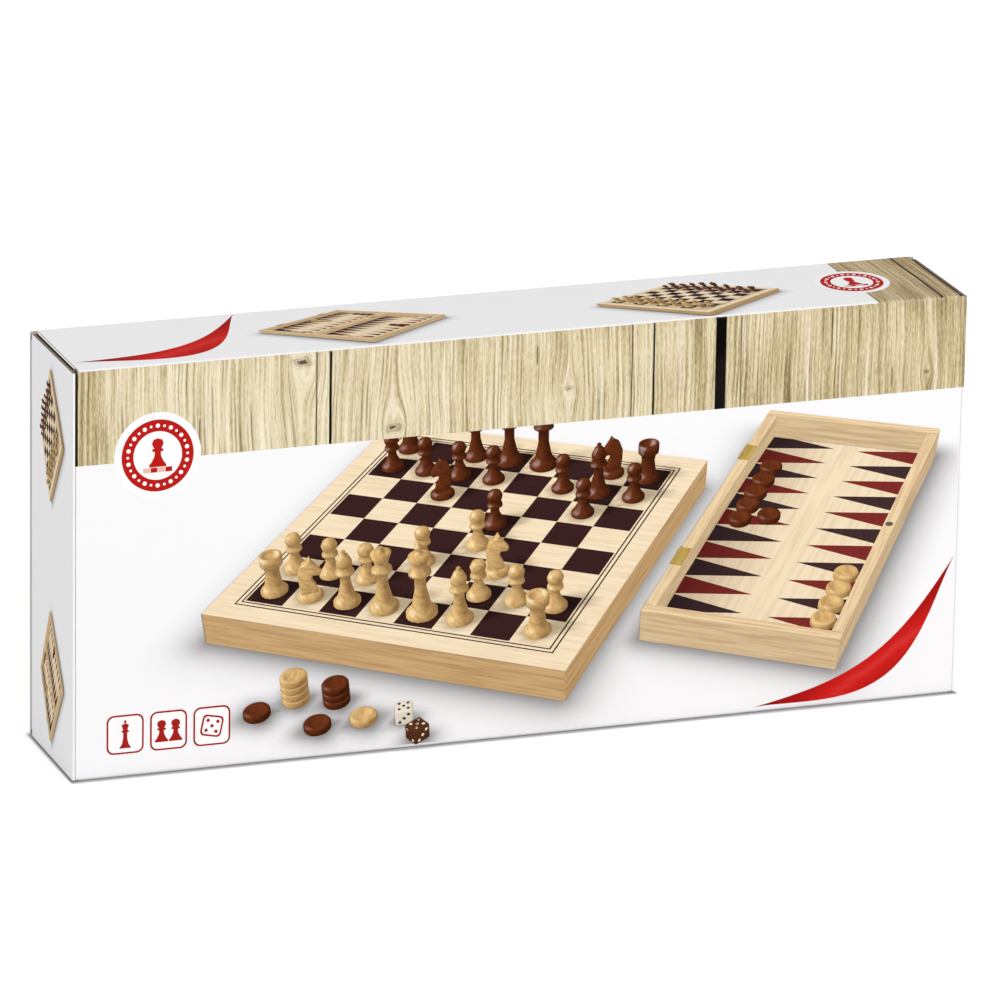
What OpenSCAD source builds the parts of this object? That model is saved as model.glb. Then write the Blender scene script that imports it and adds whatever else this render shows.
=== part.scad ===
// Games compendium box: a tuck-end carton of printed board that holds a folding wooden board case with
// its chessmen, draughts and dice. Millimetres. X runs along the carton, Y from the front panel to the
// back panel and Z up from the surface that the carton stands on, with the origin under its middle.

/* [Carton] */
// Thickness of the board
board_t = 1.5; // [1.3:0.1:1.8]
// Room over the case under the top panel
top_room = 1; // [0.5:0.1:4]
// Gap between the case and the glue flap, and the same in front of the case
side_gap = 0.3; // [0.2:0.1:2]
// Play between each end of the case and the tuck flap's free edge
case_play = 7.7; // [2:0.1:20]
// Outer radius of the four long creases
crease_r = 2.2; // [2:0.1:3]
// Width of the glue flap inside the back panel
glue_w = 16; // [12:1:20]

/* [End flaps] */
// Running gap between layers of board, and at each crease
flap_gap = 0.2; // [0.15:0.05:0.3]
// Gap that shows above and below each closure panel
slit = 0.9; // [0.6:0.1:1.5]
// Clearance of the tuck flap's crease from the back panel
tuck_clear = 1; // [0.8:0.1:1.3]
// Length of the tuck flap from its crease
tuck_len = 16; // [13:0.5:17]
// Angle that the tuck flap leans in from the back panel
tuck_lean = 9; // [8:0.5:11]
// Radius of the tuck flap's free corners
tuck_r = 9; // [5:1:12]
// Length of each dust flap from its crease
dust_len = 54; // [40:1:58]
// Slant of each dust flap's edge on the side of the closure panel's crease
dust_slant = 31; // [30:1:34]
// Slant of each dust flap's edge on the side of the tuck flap
dust_back_slant = 9; // [8:1:14]
// Step that sets the dust flap's edges in at its crease
dust_step = 3.5; // [3:0.5:5]
// Radius of the dust flap's free corners
dust_r = 5; // [3:1:8]

/* [Folding case] */
// Length of the case along its hinges
case_l = 400; // [360:2:460]
// Width of each half across the fold
case_w = 197; // [180:1:240]
// Depth of each half, panel and rail together
half_d = 32; // [32:0.5:40]
// Thickness of each playing panel
panel_t = 4; // [3:0.5:5]
// Width of the rails round each half
rail_w = 12; // [10:0.5:13]
// Gap between the two closed halves
half_gap = 0.4; // [0.2:0.1:0.6]
// Clearance between the case and what it stands on
case_rest = 0.2; // [0.1:0.1:0.3]
// Rounding of the case's outer corners
corner_r = 2; // [1:0.5:4]

/* [Hinges and catch] */
// Distance from the middle of the case to each hinge
hinge_x = 115; // [80:5:150]
// Length of each hinge along its pin
hinge_l = 30; // [24:1:36]
// Width of each leaf from the pin
leaf_w = 10; // [8:0.5:10.5]
// Thickness of each leaf
leaf_t = 1; // [0.8:0.1:1.2]
// Outer radius of the knuckles
knuckle_r = 1.8; // [1.6:0.1:1.8]
// Radius of the hinge pin
pin_r = 0.8; // [0.7:0.05:0.9]
// Radial clearance of the pin in the knuckles
pin_fit = 0.05; // [0.03:0.01:0.08]
// Radius of the screws' shanks
screw_r = 0.9; // [0.7:0.1:1]
// Length of the screws under the leaf
screw_l = 8; // [6:1:10]
// Radius of the magnet and of its strike disc
magnet_r = 4; // [3:0.5:5]
// Thickness of the magnet
magnet_t = 3; // [2:0.5:4]
// Thickness of the strike disc
strike_t = 1.5; // [1:0.1:2]

/* [Chessmen] */
// Base diameter of the kings
king_d = 27; // [25:0.5:27.5]
// Height of the kings
king_h = 76; // [70:1:78]
// Base diameter of the queens
queen_d = 26; // [24:0.5:26.5]
// Height of the queens
queen_h = 69; // [64:1:72]
// Base diameter of the bishops
bishop_d = 24; // [22:0.5:25]
// Height of the bishops
bishop_h = 58; // [54:1:62]
// Base diameter of the knights
knight_d = 24; // [22:0.5:25]
// Height of the knights
knight_h = 53; // [50:1:56]
// Base diameter of the rooks
rook_d = 24; // [22:0.5:25]
// Height of the rooks
rook_h = 45; // [42:1:48]
// Base diameter of the pawns
pawn_d = 21; // [19:0.5:22]
// Height of the pawns
pawn_h = 40; // [37:1:42]

/* [Draughts and dice] */
// Diameter of the draughts
draught_d = 30; // [28:0.5:31]
// Thickness of the draughts
draught_t = 8; // [7:0.5:8.5]
// Draughts of each colour
draught_n = 15; // [12:1:15]
// Edge of the dice
die = 12; // [10:0.5:12]
// Radius of the dice's pips
pip_r = 1; // [0.7:0.1:1.1]
// Depth to which the pips are drilled
pip_deep = 0.5; // [0.3:0.1:0.6]
// Gap between the loose pieces where they lie
lay_gap = 0.15; // [0.1:0.05:0.25]
// Gap between one stack of men and the heads of the next
stack_gap = 2; // [1:0.5:6]

/* [Hidden] */
$fn = 64;

// Carton: it is made to hold the case, with the tuck flaps and the glue flap beside it
half_t = board_t / 2;
tuck_reach = board_t + tuck_len * cos(tuck_lean);
carton_l = case_l + 2 * (case_play + tuck_reach);
carton_d = 2 * (half_d + half_gap / 2 + side_gap + 2 * board_t);
carton_h = case_w + knuckle_r + case_rest + top_room + 2 * board_t;

// The inner faces of the walls and the places of the creases, in the middle of the board
inner_y = carton_d / 2 - board_t;
floor_z = board_t;
ceiling_z = carton_h - board_t;
closure_x = carton_l / 2 - half_t;
closure_y = -(carton_d / 2 - half_t);
tuck_y = inner_y - tuck_clear - half_t;
dust_x = carton_l / 2 - board_t - flap_gap - half_t;
dust_z = carton_h - half_t;
wall_end = half_t + flap_gap / 2;
lean_end = half_t * ((1 + sin(tuck_lean)) * tan(tuck_lean) + cos(tuck_lean)) + flap_gap / 2;
tuck_tip_x = carton_l / 2 - tuck_reach;

// Case: its lowest wood, its height in the carton and the hollow inside it
case_z = floor_z + case_rest + knuckle_r;
hollow_x = case_l / 2 - rail_w;
hollow_y = half_d - panel_t + half_gap / 2;
hollow_z = case_z + rail_w;
outer_y = half_d + half_gap / 2;

// Colours
board_white = [0.95, 0.95, 0.94];
board_grey = [0.78, 0.76, 0.72];
rail_wood = [0.80, 0.68, 0.50];
ply = [0.95, 0.87, 0.75];
brass = [0.78, 0.62, 0.28];
steel = [0.62, 0.63, 0.65];
light_wood = [0.89, 0.75, 0.51];
dark_wood = [0.40, 0.20, 0.10];

// ---- Carton sleeve ----

// Outline of the sleeve's outer or inner skin, seen along X, with Y to the right and Z up.
module sleeve_outline(inset, r) {
    w = carton_d / 2 - inset;
    translate([-w, inset + r])
        square([2 * w, carton_h - 2 * inset - 2 * r]);
    translate([-w + r, inset])
        square([2 * w - 2 * r, carton_h - 2 * inset]);
    for (y = [-w + r, w - r])
        for (z = [inset + r, carton_h - inset - r])
            translate([y, z])
                circle(r);
}

// One wall of the sleeve: the ring of board cut at the middle of each crease.
module sleeve_wall(sector, length) {
    rotate([90, 0, 90])
        translate([0, 0, -length / 2])
            linear_extrude(length)
                intersection() {
                    difference() {
                        sleeve_outline(0, crease_r);
                        sleeve_outline(board_t, crease_r - board_t);
                    }
                    polygon(sector);
                }
}

// Corners of the sleeve and the points 45 degrees in from them, which part the walls.
near = crease_r;
y0 = -carton_d / 2;
y1 = carton_d / 2;
front_sector = [[y0 - 1, -1], [y0 + near, near], [y0 + near, carton_h - near], [y0 - 1, carton_h + 1]];
back_sector = [[y1 + 1, -1], [y1 - near, near], [y1 - near, carton_h - near], [y1 + 1, carton_h + 1]];
top_sector = [
    [y0 - 1, carton_h + 1], [y0 + near, carton_h - near], [y1 - near, carton_h - near], [y1 + 1, carton_h + 1]
];
bottom_sector = [[y0 - 1, -1], [y0 + near, near], [y1 - near, near], [y1 + 1, -1]];

module front_panel() {
    color(board_white)
        sleeve_wall(front_sector, 2 * (closure_x - wall_end));
}

module back_panel() {
    color(board_white)
        sleeve_wall(back_sector, carton_l);
}

module top_panel() {
    color(board_white)
        sleeve_wall(top_sector, 2 * (dust_x - wall_end));
}

module bottom_panel() {
    color(board_white)
        sleeve_wall(bottom_sector, 2 * (dust_x - wall_end));
}

// The glue flap hangs from the top panel inside the back panel, clear of both tuck flaps.
module glue_flap() {
    half = tuck_tip_x - 1;
    color(board_grey)
        translate([0, inner_y, ceiling_z - crease_r + board_t])
            rotate([90, 0, 0])
                linear_extrude(board_t)
                    polygon([[-half, 0], [half, 0], [half - glue_w / 2, -glue_w], [-half + glue_w / 2, -glue_w]]);
}

// ---- End flaps, drawn for the right end ----

// A flap in its own plane: the crease lies along +Y from the origin, the board runs along +X and the
// outline closes on a full round at the crease.
module creased(width) {
    rotate([-90, 0, 0])
        cylinder(r = half_t, h = width);
    translate([0, 0, -half_t])
        linear_extrude(board_t)
            children();
}

// Closure panel: creased on the front panel and, along its far edge, on the tuck flap.
module closure() {
    height = carton_h - 2 * slit;
    color(board_white)
        translate([closure_x, closure_y, slit])
            rotate([90, 0, 90])
                creased(height)
                    square([tuck_y - closure_y - lean_end, height]);
}

// Tuck flap: narrower than the closure panel, with round free corners, leaning in from the back panel.
module tuck() {
    set_in = 2 * board_t;
    height = carton_h - 2 * slit - 2 * set_in;
    color(board_grey)
        translate([closure_x, tuck_y, slit + set_in])
            rotate([0, 0, 180 + tuck_lean])
                rotate([90, 0, 0])
                    creased(height)
                        intersection() {
                            square([tuck_len, height]);
                            translate([tuck_len - 4 * tuck_r, 0])
                                rounded([4 * tuck_r, height], tuck_r);
                        }
}

// Dust flap of the top or bottom panel: slanted edges let it follow the closure panel out.
module dust(side) {
    front = closure_y + dust_step + half_t;
    back = tuck_y - dust_step;
    width = back - front;
    front_in = dust_len * tan(dust_slant);
    back_in = dust_len * tan(dust_back_slant);
    color(board_grey)
        translate([dust_x, front, side > 0 ? dust_z : half_t])
            rotate([0, 90, 0])
                creased(width)
                    polygon(concat(
                        [[0, 0], [0, width]],
                        rounded_tip([side * dust_len, width - back_in], side, dust_back_slant, -1),
                        rounded_tip([side * dust_len, front_in], side, dust_slant, 1)
                    ));
}

// Points that round a dust flap's free corner, which leans in by slant. way is 1 at the low corner.
function rounded_tip(corner, side, slant, way, steps = 6) =
    let (
        turn = 90 - slant,
        run = dust_r * tan(turn / 2),
        middle = [corner[0] - side * dust_r, corner[1] + way * run]
    )
    [
        for (i = [0:steps])
            let (a = (way > 0 ? i : steps - i) / steps * turn)
                [middle[0] + side * dust_r * cos(a), middle[1] - way * dust_r * sin(a)]
    ];

module mirror_x(on) {
    if (on)
        mirror([1, 0, 0])
            children();
    else
        children();
}

// ---- Folding case ----

// A mitred rail along +X, its outer edge on the X axis and its inner edge rail_w above it.
module mitred(length, depth) {
    linear_extrude(depth)
        difference() {
            polygon([[0, 0], [length, 0], [length - rail_w, rail_w], [rail_w, rail_w]]);
            for (x = [0, length])
                corner_cut(x, x > 0 ? -1 : 1);
        }
}

// What rounding an outer corner takes off, with the corner at x and the rail inward of it.
module corner_cut(x, way) {
    difference() {
        translate([x - (way > 0 ? 1 : corner_r), -1])
            square([corner_r + 1, corner_r + 1]);
        translate([x + way * corner_r, corner_r])
            circle(corner_r);
    }
}

// Places one half's pieces: drawn with the outline in XY and depth up from the playing panel's outer
// face, then stood up in the carton. side is -1 for the base, in front, and 1 for the lid.
module stood(side) {
    translate([0, side * outer_y, case_z])
        mirror([0, side > 0 ? 1 : 0, 0])
            rotate([90, 0, 0])
                mirror([0, 0, 1])
                    children();
}

module playing_panel(side) {
    color(ply)
        stood(side)
            linear_extrude(panel_t)
                translate([-case_l / 2, 0])
                    rounded([case_l, case_w], corner_r);
}

module rounded(size, r) {
    translate([r, 0])
        square([size[0] - 2 * r, size[1]]);
    translate([0, r])
        square([size[0], size[1] - 2 * r]);
    for (x = [r, size[0] - r])
        for (y = [r, size[1] - r])
            translate([x, y])
                circle(r);
}

module hinge_rail(side) {
    color(rail_wood)
        difference() {
            stood(side)
                translate([-case_l / 2, 0, panel_t])
                    mitred(case_l, half_d - panel_t);
            for (x = [-hinge_x, hinge_x])
                translate([x, 0, case_z])
                    hinge_recess(side);
        }
}

module catch_rail(side) {
    thickness = side < 0 ? magnet_t : strike_t;
    color(rail_wood)
        difference() {
            stood(side)
                translate([case_l / 2, case_w, panel_t])
                    rotate([0, 0, 180])
                        mitred(case_l, half_d - panel_t);
            catch_disc(side, thickness + 1, 1);
        }
}

module end_rail(side, end) {
    color(rail_wood)
        stood(side)
            translate([end * case_l / 2, end < 0 ? case_w : 0, panel_t])
                rotate([0, 0, end * 90])
                    mitred(case_w, half_d - panel_t);
}

// ---- Hinges and catch ----

knuckle_l = hinge_l / 3;
knuckle_gap = 0.1;
screw_head_r = 1.8 * screw_r;
screw_head_h = 0.7 * leaf_t;
screw_z = 0.62 * leaf_w;

// Room in a rail for the leaf and the knuckles, round a hinge at the origin.
module hinge_recess(side) {
    room = knuckle_gap;
    translate([-hinge_l / 2 - room, side < 0 ? -half_gap / 2 - leaf_t : 0, -1])
        cube([hinge_l + 2 * room, half_gap / 2 + leaf_t, leaf_w + 1 + room]);
    rotate([0, 90, 0])
        cylinder(r = knuckle_r + room, h = hinge_l + 2 * room, center = true);
    for (along = [-hinge_l / 3, hinge_l / 3])
        translate([along, 0, screw_z])
            rotate([side < 0 ? 90 : -90, 0, 0])
                cylinder(r = screw_r, h = half_gap / 2 + leaf_t + screw_l + 0.5);
}

// Leaves of one half: the base's has the outer two knuckles, the lid's the middle one.
module hinge_leaves(side) {
    color(brass)
        for (x = [-hinge_x, hinge_x])
            translate([x, 0, case_z])
                difference() {
                    union() {
                        translate([-hinge_l / 2, side < 0 ? -half_gap / 2 - leaf_t : half_gap / 2, 0])
                            cube([hinge_l, leaf_t, leaf_w]);
                        rotate([0, 90, 0])
                            cylinder(r = knuckle_r, h = hinge_l, center = true);
                    }
                    rotate([0, 90, 0])
                        cylinder(r = pin_r + pin_fit, h = hinge_l + 1, center = true);
                    other_knuckles(side);
                    for (along = [-hinge_l / 3, hinge_l / 3])
                        translate([along, 0, screw_z])
                            rotate([side < 0 ? 90 : -90, 0, 0])
                                screw_hole();
                }
}

// Cuts away the other leaf's knuckles, with the gap between them.
module other_knuckles(side) {
    reach = 2 * knuckle_r + 1;
    if (side < 0)
        translate([-knuckle_l / 2 - knuckle_gap / 2, -reach / 2, -reach / 2])
            cube([knuckle_l + knuckle_gap, reach, reach]);
    else
        for (way = [-1, 1])
            translate([way * (knuckle_l + knuckle_gap / 4 + 0.5), 0, 0])
                cube([knuckle_l + 1 - knuckle_gap / 2, reach, reach], center = true);
}

// A countersunk hole through a leaf, opening from the plane between the two halves.
module screw_hole() {
    cylinder(r = screw_r + pin_fit, h = leaf_t + half_gap);
    translate([0, 0, half_gap / 2])
        cylinder(r1 = screw_head_r + pin_fit, r2 = screw_r + pin_fit, h = screw_head_h);
    cylinder(r = screw_head_r + pin_fit, h = half_gap / 2);
}

module hinge_pins() {
    color(brass)
        for (x = [-hinge_x, hinge_x])
            translate([x, 0, case_z])
                rotate([0, 90, 0])
                    cylinder(r = pin_r, h = hinge_l - 0.2, center = true);
}

// Countersunk wood screws through both leaves into the hinge rails.
module hinge_screws() {
    color(brass)
        for (x = [-hinge_x, hinge_x])
            for (along = [-hinge_l / 3, hinge_l / 3])
                for (side = [-1, 1])
                    translate([x + along, 0, case_z + screw_z])
                        rotate([side < 0 ? 90 : -90, 0, 0])
                            translate([0, 0, half_gap / 2])
                                screw();
}

// One screw: a countersunk head with its slot, a shank and a blunt point.
module screw() {
    point_h = 0.4;
    difference() {
        union() {
            cylinder(r1 = screw_head_r, r2 = screw_r, h = screw_head_h);
            cylinder(r = screw_r - pin_fit, h = leaf_t + screw_l);
            translate([0, 0, leaf_t + screw_l])
                cylinder(r1 = screw_r - pin_fit, r2 = 0.2, h = point_h);
        }
        cube([3 * screw_head_r, 0.4, 0.5], center = true);
    }
}

// A disc in a catch rail, its outer face flush with the rail's mating face, with extra in front.
module catch_disc(side, thickness, front) {
    translate([0, side * (half_gap / 2 - front), case_z + case_w - rail_w / 2])
        rotate([side < 0 ? 90 : -90, 0, 0])
            cylinder(r = magnet_r, h = thickness);
}

module magnet() {
    color(steel)
        catch_disc(-1, magnet_t, 0);
}

module strike_disc() {
    color(steel)
        catch_disc(1, strike_t, 0);
}

// ---- Chessmen: each stands on the origin, turned about Z ----

// Waist of a turned body: the radius falls from low to high on a square law, as points up one side.
function waist(low, high, z_low, z_high, steps = 8) = [
    for (i = [0:steps])
        [high + (low - high) * pow(1 - i / steps, 2), z_low + (z_high - z_low) * i / steps]
];

// Foot, ring and waist that every man has, as half of an outline.
module turned_stem(d, neck_r, stem_h) {
    foot_h = d * 0.16;
    ring_h = d * 0.12;
    square([d / 2 - foot_h / 2, foot_h]);
    translate([d / 2 - foot_h / 2, foot_h / 2])
        circle(foot_h / 2);
    square([d * 0.36, foot_h + ring_h]);
    translate([d * 0.36, foot_h + ring_h / 2])
        circle(ring_h / 2);
    polygon(concat(
        [[0, foot_h]],
        waist(d * 0.34, neck_r, foot_h + ring_h, stem_h),
        [[0, stem_h]]
    ));
}

// A collar round the neck: a disc with a round rim.
module collar(r, z, h) {
    translate([0, z])
        square([r - h / 2, h]);
    translate([r - h / 2, z + h / 2])
        circle(h / 2);
}

// Turns half an outline about Z, keeping what lies on the right of the axis and above the foot.
module lathe() {
    rotate_extrude()
        intersection() {
            union()
                children();
            square([max(man_d), 2 * max(man_h)]);
        }
}

module pawn() {
    head_r = pawn_d * 0.3;
    neck_r = pawn_d * 0.17;
    lathe() {
        turned_stem(pawn_d, neck_r, pawn_h - 1.7 * head_r);
        collar(pawn_d * 0.27, pawn_h - 2.15 * head_r, 2);
        translate([0, pawn_h - head_r])
            circle(head_r);
    }
}

module rook() {
    head_r = rook_d * 0.36;
    head_h = rook_h * 0.2;
    difference() {
        lathe() {
            turned_stem(rook_d, rook_d * 0.26, rook_h - head_h);
            collar(rook_d * 0.33, rook_h - head_h - 2.5, 2.5);
            translate([0, rook_h - head_h])
                square([head_r, head_h]);
        }
        translate([0, 0, rook_h - head_h * 0.45])
            cylinder(r = head_r * 0.68, h = head_h);
        for (turn = [0:45:179])
            rotate([0, 0, turn])
                translate([0, 0, rook_h])
                    cube([3 * head_r, 2.2, head_h * 0.7], center = true);
    }
}

module bishop() {
    head_r = bishop_d * 0.24;
    head_z = bishop_h - 2.9 * head_r;
    difference() {
        lathe() {
            turned_stem(bishop_d, bishop_d * 0.14, head_z);
            collar(bishop_d * 0.27, head_z - 4, 1.8);
            collar(bishop_d * 0.22, head_z - 1.4, 1.6);
            polygon(concat(
                [[0, head_z]],
                [for (i = [0:10]) [head_r * sin(30 + 15 * i) * (i > 4 ? 1 - 0.08 * (i - 4) : 1),
                                   head_z + 2.3 * head_r * i / 10]],
                [[0, head_z + 2.3 * head_r]]
            ));
            translate([0, bishop_h - head_r * 0.36])
                circle(head_r * 0.36);
            translate([0, head_z + 2 * head_r])
                square([head_r * 0.3, head_r * 0.7]);
        }
        translate([head_r * 0.55, 0, head_z + 1.75 * head_r])
            rotate([0, 35, 0])
                cube([head_r * 0.22, 3 * head_r, head_r * 1.5], center = true);
    }
}

// The knight's head is carved: its side outline met by its tapering front outline, with drilled eyes.
module knight() {
    neck_z = knight_h * 0.32;
    u = (knight_h - neck_z) / 10;
    reach = 2 * knight_d;
    lathe() {
        turned_stem(knight_d, knight_d * 0.32, neck_z);
        collar(knight_d * 0.38, neck_z - 3, 2.6);
    }
    translate([0, 0, neck_z - 0.5])
        difference() {
            intersection() {
                rotate([90, 0, 0])
                    linear_extrude(reach, center = true)
                        horse_side(u);
                rotate([90, 0, 90])
                    linear_extrude(reach, center = true)
                        horse_front(u);
                // the neck is turned round where it meets the collar
                cylinder(r1 = knight_d * 0.37, r2 = reach, h = 11 * u);
            }
            for (side = [-1, 1])
                translate([1.1 * u, side * 1.95 * u, 7.3 * u])
                    rotate([90, 0, 0])
                        cylinder(r = 0.38 * u, h = 1.4 * u, center = true);
        }
}

// Side outline in tenths of the head's height: arched neck with a cut mane, ear, muzzle, jaw and chest.
module horse_side(u) {
    difference() {
        union() {
            polygon([
                [-2.7 * u, 0], [2.7 * u, 0], [2.5 * u, 1.2 * u], [1.7 * u, 2.6 * u], [1.2 * u, 4.2 * u],
                [3.4 * u, 3.9 * u], [4.0 * u, 5.1 * u], [1.9 * u, 8.3 * u], [1.0 * u, 9.0 * u],
                [0.5 * u, 10.4 * u], [-0.3 * u, 9.2 * u], [-2.2 * u, 7.6 * u], [-3.2 * u, 4.6 * u]
            ]);
            translate([-0.4 * u, 5.4 * u])
                circle(3.1 * u);
            translate([1.3 * u, 5.2 * u])
                circle(1.4 * u);
            translate([3.3 * u, 4.7 * u])
                circle(0.85 * u);
        }
        for (turn = [110:19:200])
            translate([-0.4 * u + 3.25 * u * cos(turn), 5.4 * u + 3.25 * u * sin(turn)])
                circle(0.34 * u);
        translate([3.0 * u, 2.5 * u])
            circle(1.2 * u);
    }
}

// Front outline: broad at the chest, drawn in to the muzzle and the ears.
module horse_front(u) {
    polygon([
        [-2.3 * u, 0], [2.3 * u, 0], [2.1 * u, 2 * u], [1.55 * u, 4 * u], [1.75 * u, 6.5 * u],
        [1.3 * u, 9 * u], [0.5 * u, 10.5 * u], [0, 9.4 * u], [-0.5 * u, 10.5 * u],
        [-1.3 * u, 9 * u], [-1.75 * u, 6.5 * u], [-1.55 * u, 4 * u], [-2.1 * u, 2 * u]
    ]);
}

module queen() {
    crown_z = queen_h * 0.82;
    crown_r = queen_d * 0.26;
    difference() {
        lathe() {
            turned_stem(queen_d, queen_d * 0.15, crown_z);
            collar(queen_d * 0.28, queen_h * 0.68, 2);
            collar(queen_d * 0.22, queen_h * 0.72, 1.8);
            polygon([
                [0, queen_h * 0.74], [queen_d * 0.16, queen_h * 0.74],
                [crown_r, queen_h * 0.93], [crown_r * 0.7, queen_h * 0.955], [0, queen_h * 0.955]
            ]);
            translate([0, queen_h - 2.4])
                circle(2.4);
        }
        for (turn = [0:45:359])
            rotate([0, 0, turn])
                translate([crown_r, 0, queen_h * 0.945])
                    rotate([0, 90, 0])
                        cylinder(r = 1.3, h = crown_r, center = true);
    }
}

module king() {
    crown_z = king_h * 0.9;
    lathe() {
        turned_stem(king_d, king_d * 0.16, king_h * 0.74);
        collar(king_d * 0.29, king_h * 0.64, 2.2);
        collar(king_d * 0.23, king_h * 0.68, 2);
        polygon([
            [0, king_h * 0.7], [king_d * 0.17, king_h * 0.7], [king_d * 0.27, king_h * 0.86],
            [king_d * 0.2, king_h * 0.885], [king_d * 0.08, crown_z], [0, crown_z]
        ]);
    }
    translate([0, 0, crown_z - 1])
        rotate([90, 0, 0])
            linear_extrude(2.6, center = true)
                flared_cross(king_h - crown_z + 1);
}

// A cross with flared arms, standing on the origin.
module flared_cross(h) {
    w = 0.13 * h;
    arm_z = 0.62 * h;
    polygon([[-2 * w, 0], [2 * w, 0], [w, arm_z - w], [w, arm_z + w], [2 * w, h], [-2 * w, h],
             [-w, arm_z + w], [-w, arm_z - w]]);
    polygon([[-3.2 * w, arm_z - 2 * w], [0, arm_z - w], [3.2 * w, arm_z - 2 * w],
             [3.2 * w, arm_z + 2 * w], [0, arm_z + w], [-3.2 * w, arm_z + 2 * w]]);
}

// ---- Loose pieces, laid in the closed case ----

KING = 0;
QUEEN = 1;
BISHOP = 2;
KNIGHT = 3;
ROOK = 4;
PAWN = 5;
man_d = [king_d, queen_d, bishop_d, knight_d, rook_d, pawn_d];
man_h = [king_h, queen_h, bishop_h, knight_h, rook_h, pawn_h];

// Each set lies in three stacks, foot over foot, with its tallest men in the first.
STACKS = [
    [KING, QUEEN, ROOK, ROOK, PAWN, PAWN],
    [BISHOP, BISHOP, KNIGHT, KNIGHT, PAWN, PAWN],
    [PAWN, PAWN, PAWN, PAWN]
];
stack_l = [king_h, bishop_h, pawn_h];

function total(list, n) = n <= 0 ? 0 : list[n - 1] + total(list, n - 1);
function stack_x(s) = hollow_x - lay_gap - total(stack_l, s) - s * stack_gap;
function below(stack, n) = n <= 0 ? 0 : man_d[stack[n - 1]] + lay_gap + below(stack, n - 1);
function lying_z(stack, n) = hollow_z + lay_gap + below(stack, n) + man_d[stack[n]] / 2;

// All men of one kind and side, lying with their feet to the right.
module laid(kind, side) {
    for (s = [0:2])
        for (n = [0:len(STACKS[s]) - 1])
            if (STACKS[s][n] == kind)
                translate([stack_x(s), side * (hollow_y / 2), lying_z(STACKS[s], n)])
                    rotate([0, -90, 0])
                        children();
}

// One draught: chamfered rims and a round groove turned in both faces.
module draught() {
    r = draught_d / 2;
    groove = 0.9;
    rim = 1;
    rotate_extrude()
        difference() {
            polygon([
                [0, 0], [r - rim, 0], [r, rim], [r, draught_t - rim], [r - rim, draught_t], [0, draught_t]
            ]);
            for (z = [0, draught_t])
                for (share = [0.5, 0.74])
                    translate([r * share, z])
                        circle(groove);
        }
}

// The draughts stand on edge in stacks across the case, light ones first.
stack_n = floor((2 * hollow_y - lay_gap) / (draught_t + lay_gap));

module draughts(first) {
    for (i = [first:first + draught_n - 1])
        translate([
            -hollow_x + lay_gap + draught_d / 2 + floor(i / stack_n) * (draught_d + lay_gap),
            -hollow_y + lay_gap + (i % stack_n) * (draught_t + lay_gap),
            hollow_z + lay_gap + draught_d / 2
        ])
            rotate([-90, 0, 0])
                draught();
}

// Places of the pips on the faces with one to six, in quarters of the edge.
PIPS = [
    [[0, 0]],
    [[-1, -1], [1, 1]],
    [[-1, -1], [0, 0], [1, 1]],
    [[-1, -1], [1, -1], [-1, 1], [1, 1]],
    [[-1, -1], [1, -1], [0, 0], [-1, 1], [1, 1]],
    [[-1, -1], [1, -1], [-1, 0], [1, 0], [-1, 1], [1, 1]]
];
// Turns that bring each of those faces up, opposite faces adding up to seven.
FACE_TURNS = [[0, 0, 0], [90, 0, 0], [0, 90, 0], [0, -90, 0], [-90, 0, 0], [180, 0, 0]];

// A die: a cube with its corners turned off and its pips drilled.
module one_die() {
    difference() {
        intersection() {
            cube(die, center = true);
            sphere(r = die * 0.79);
        }
        for (n = [0:5])
            rotate(FACE_TURNS[n])
                for (spot = PIPS[n])
                    translate([spot.x * die / 4, spot.y * die / 4, die / 2 - pip_deep])
                        cylinder(r1 = pip_r / 2, r2 = pip_r * 1.5, h = 2 * pip_deep, $fn = 24);
    }
}

// Dice lie in the valleys between the stacks of draughts, along the case from the given valley on.
module dice(count, valley) {
    pitch = draught_d + lay_gap;
    r = draught_d / 2 + lay_gap;
    half = die / 2;
    seat = sqrt(r * r - (pitch / 2 - half) * (pitch / 2 - half));
    for (i = [0:count - 1])
        translate([
            -hollow_x + lay_gap + (valley + floor(i / 2) + 1) * pitch - lay_gap / 2,
            (i % 2 == 0 ? -1 : 1) * hollow_y / 2,
            hollow_z + r + seat + half
        ])
            one_die();
}

front_panel();
top_panel();
back_panel();
bottom_panel();
glue_flap();
mirror_x(true) closure();  // left_closure
mirror_x(true) tuck();  // left_tuck_flap
mirror_x(true) dust(1);  // left_top_dust_flap
mirror_x(true) dust(-1);  // left_bottom_dust_flap
mirror_x(false) closure();  // right_closure
mirror_x(false) tuck();  // right_tuck_flap
mirror_x(false) dust(1);  // right_top_dust_flap
mirror_x(false) dust(-1);  // right_bottom_dust_flap
playing_panel(-1);  // base_panel
hinge_rail(-1);  // base_hinge_rail
catch_rail(-1);  // base_catch_rail
end_rail(-1, -1);  // base_left_rail
end_rail(-1, 1);  // base_right_rail
playing_panel(1);  // lid_panel
hinge_rail(1);  // lid_hinge_rail
catch_rail(1);  // lid_catch_rail
end_rail(1, -1);  // lid_left_rail
end_rail(1, 1);  // lid_right_rail
hinge_leaves(-1);  // base_hinge_leaves
hinge_leaves(1);  // lid_hinge_leaves
hinge_pins();
hinge_screws();
magnet();
strike_disc();
color(light_wood) laid(KING, -1) king();  // light_kings
color(light_wood) laid(QUEEN, -1) queen();  // light_queens
color(light_wood) laid(BISHOP, -1) bishop();  // light_bishops
color(light_wood) laid(KNIGHT, -1) knight();  // light_knights
color(light_wood) laid(ROOK, -1) rook();  // light_rooks
color(light_wood) laid(PAWN, -1) pawn();  // light_pawns
color(dark_wood) laid(KING, 1) king();  // dark_kings
color(dark_wood) laid(QUEEN, 1) queen();  // dark_queens
color(dark_wood) laid(BISHOP, 1) bishop();  // dark_bishops
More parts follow.
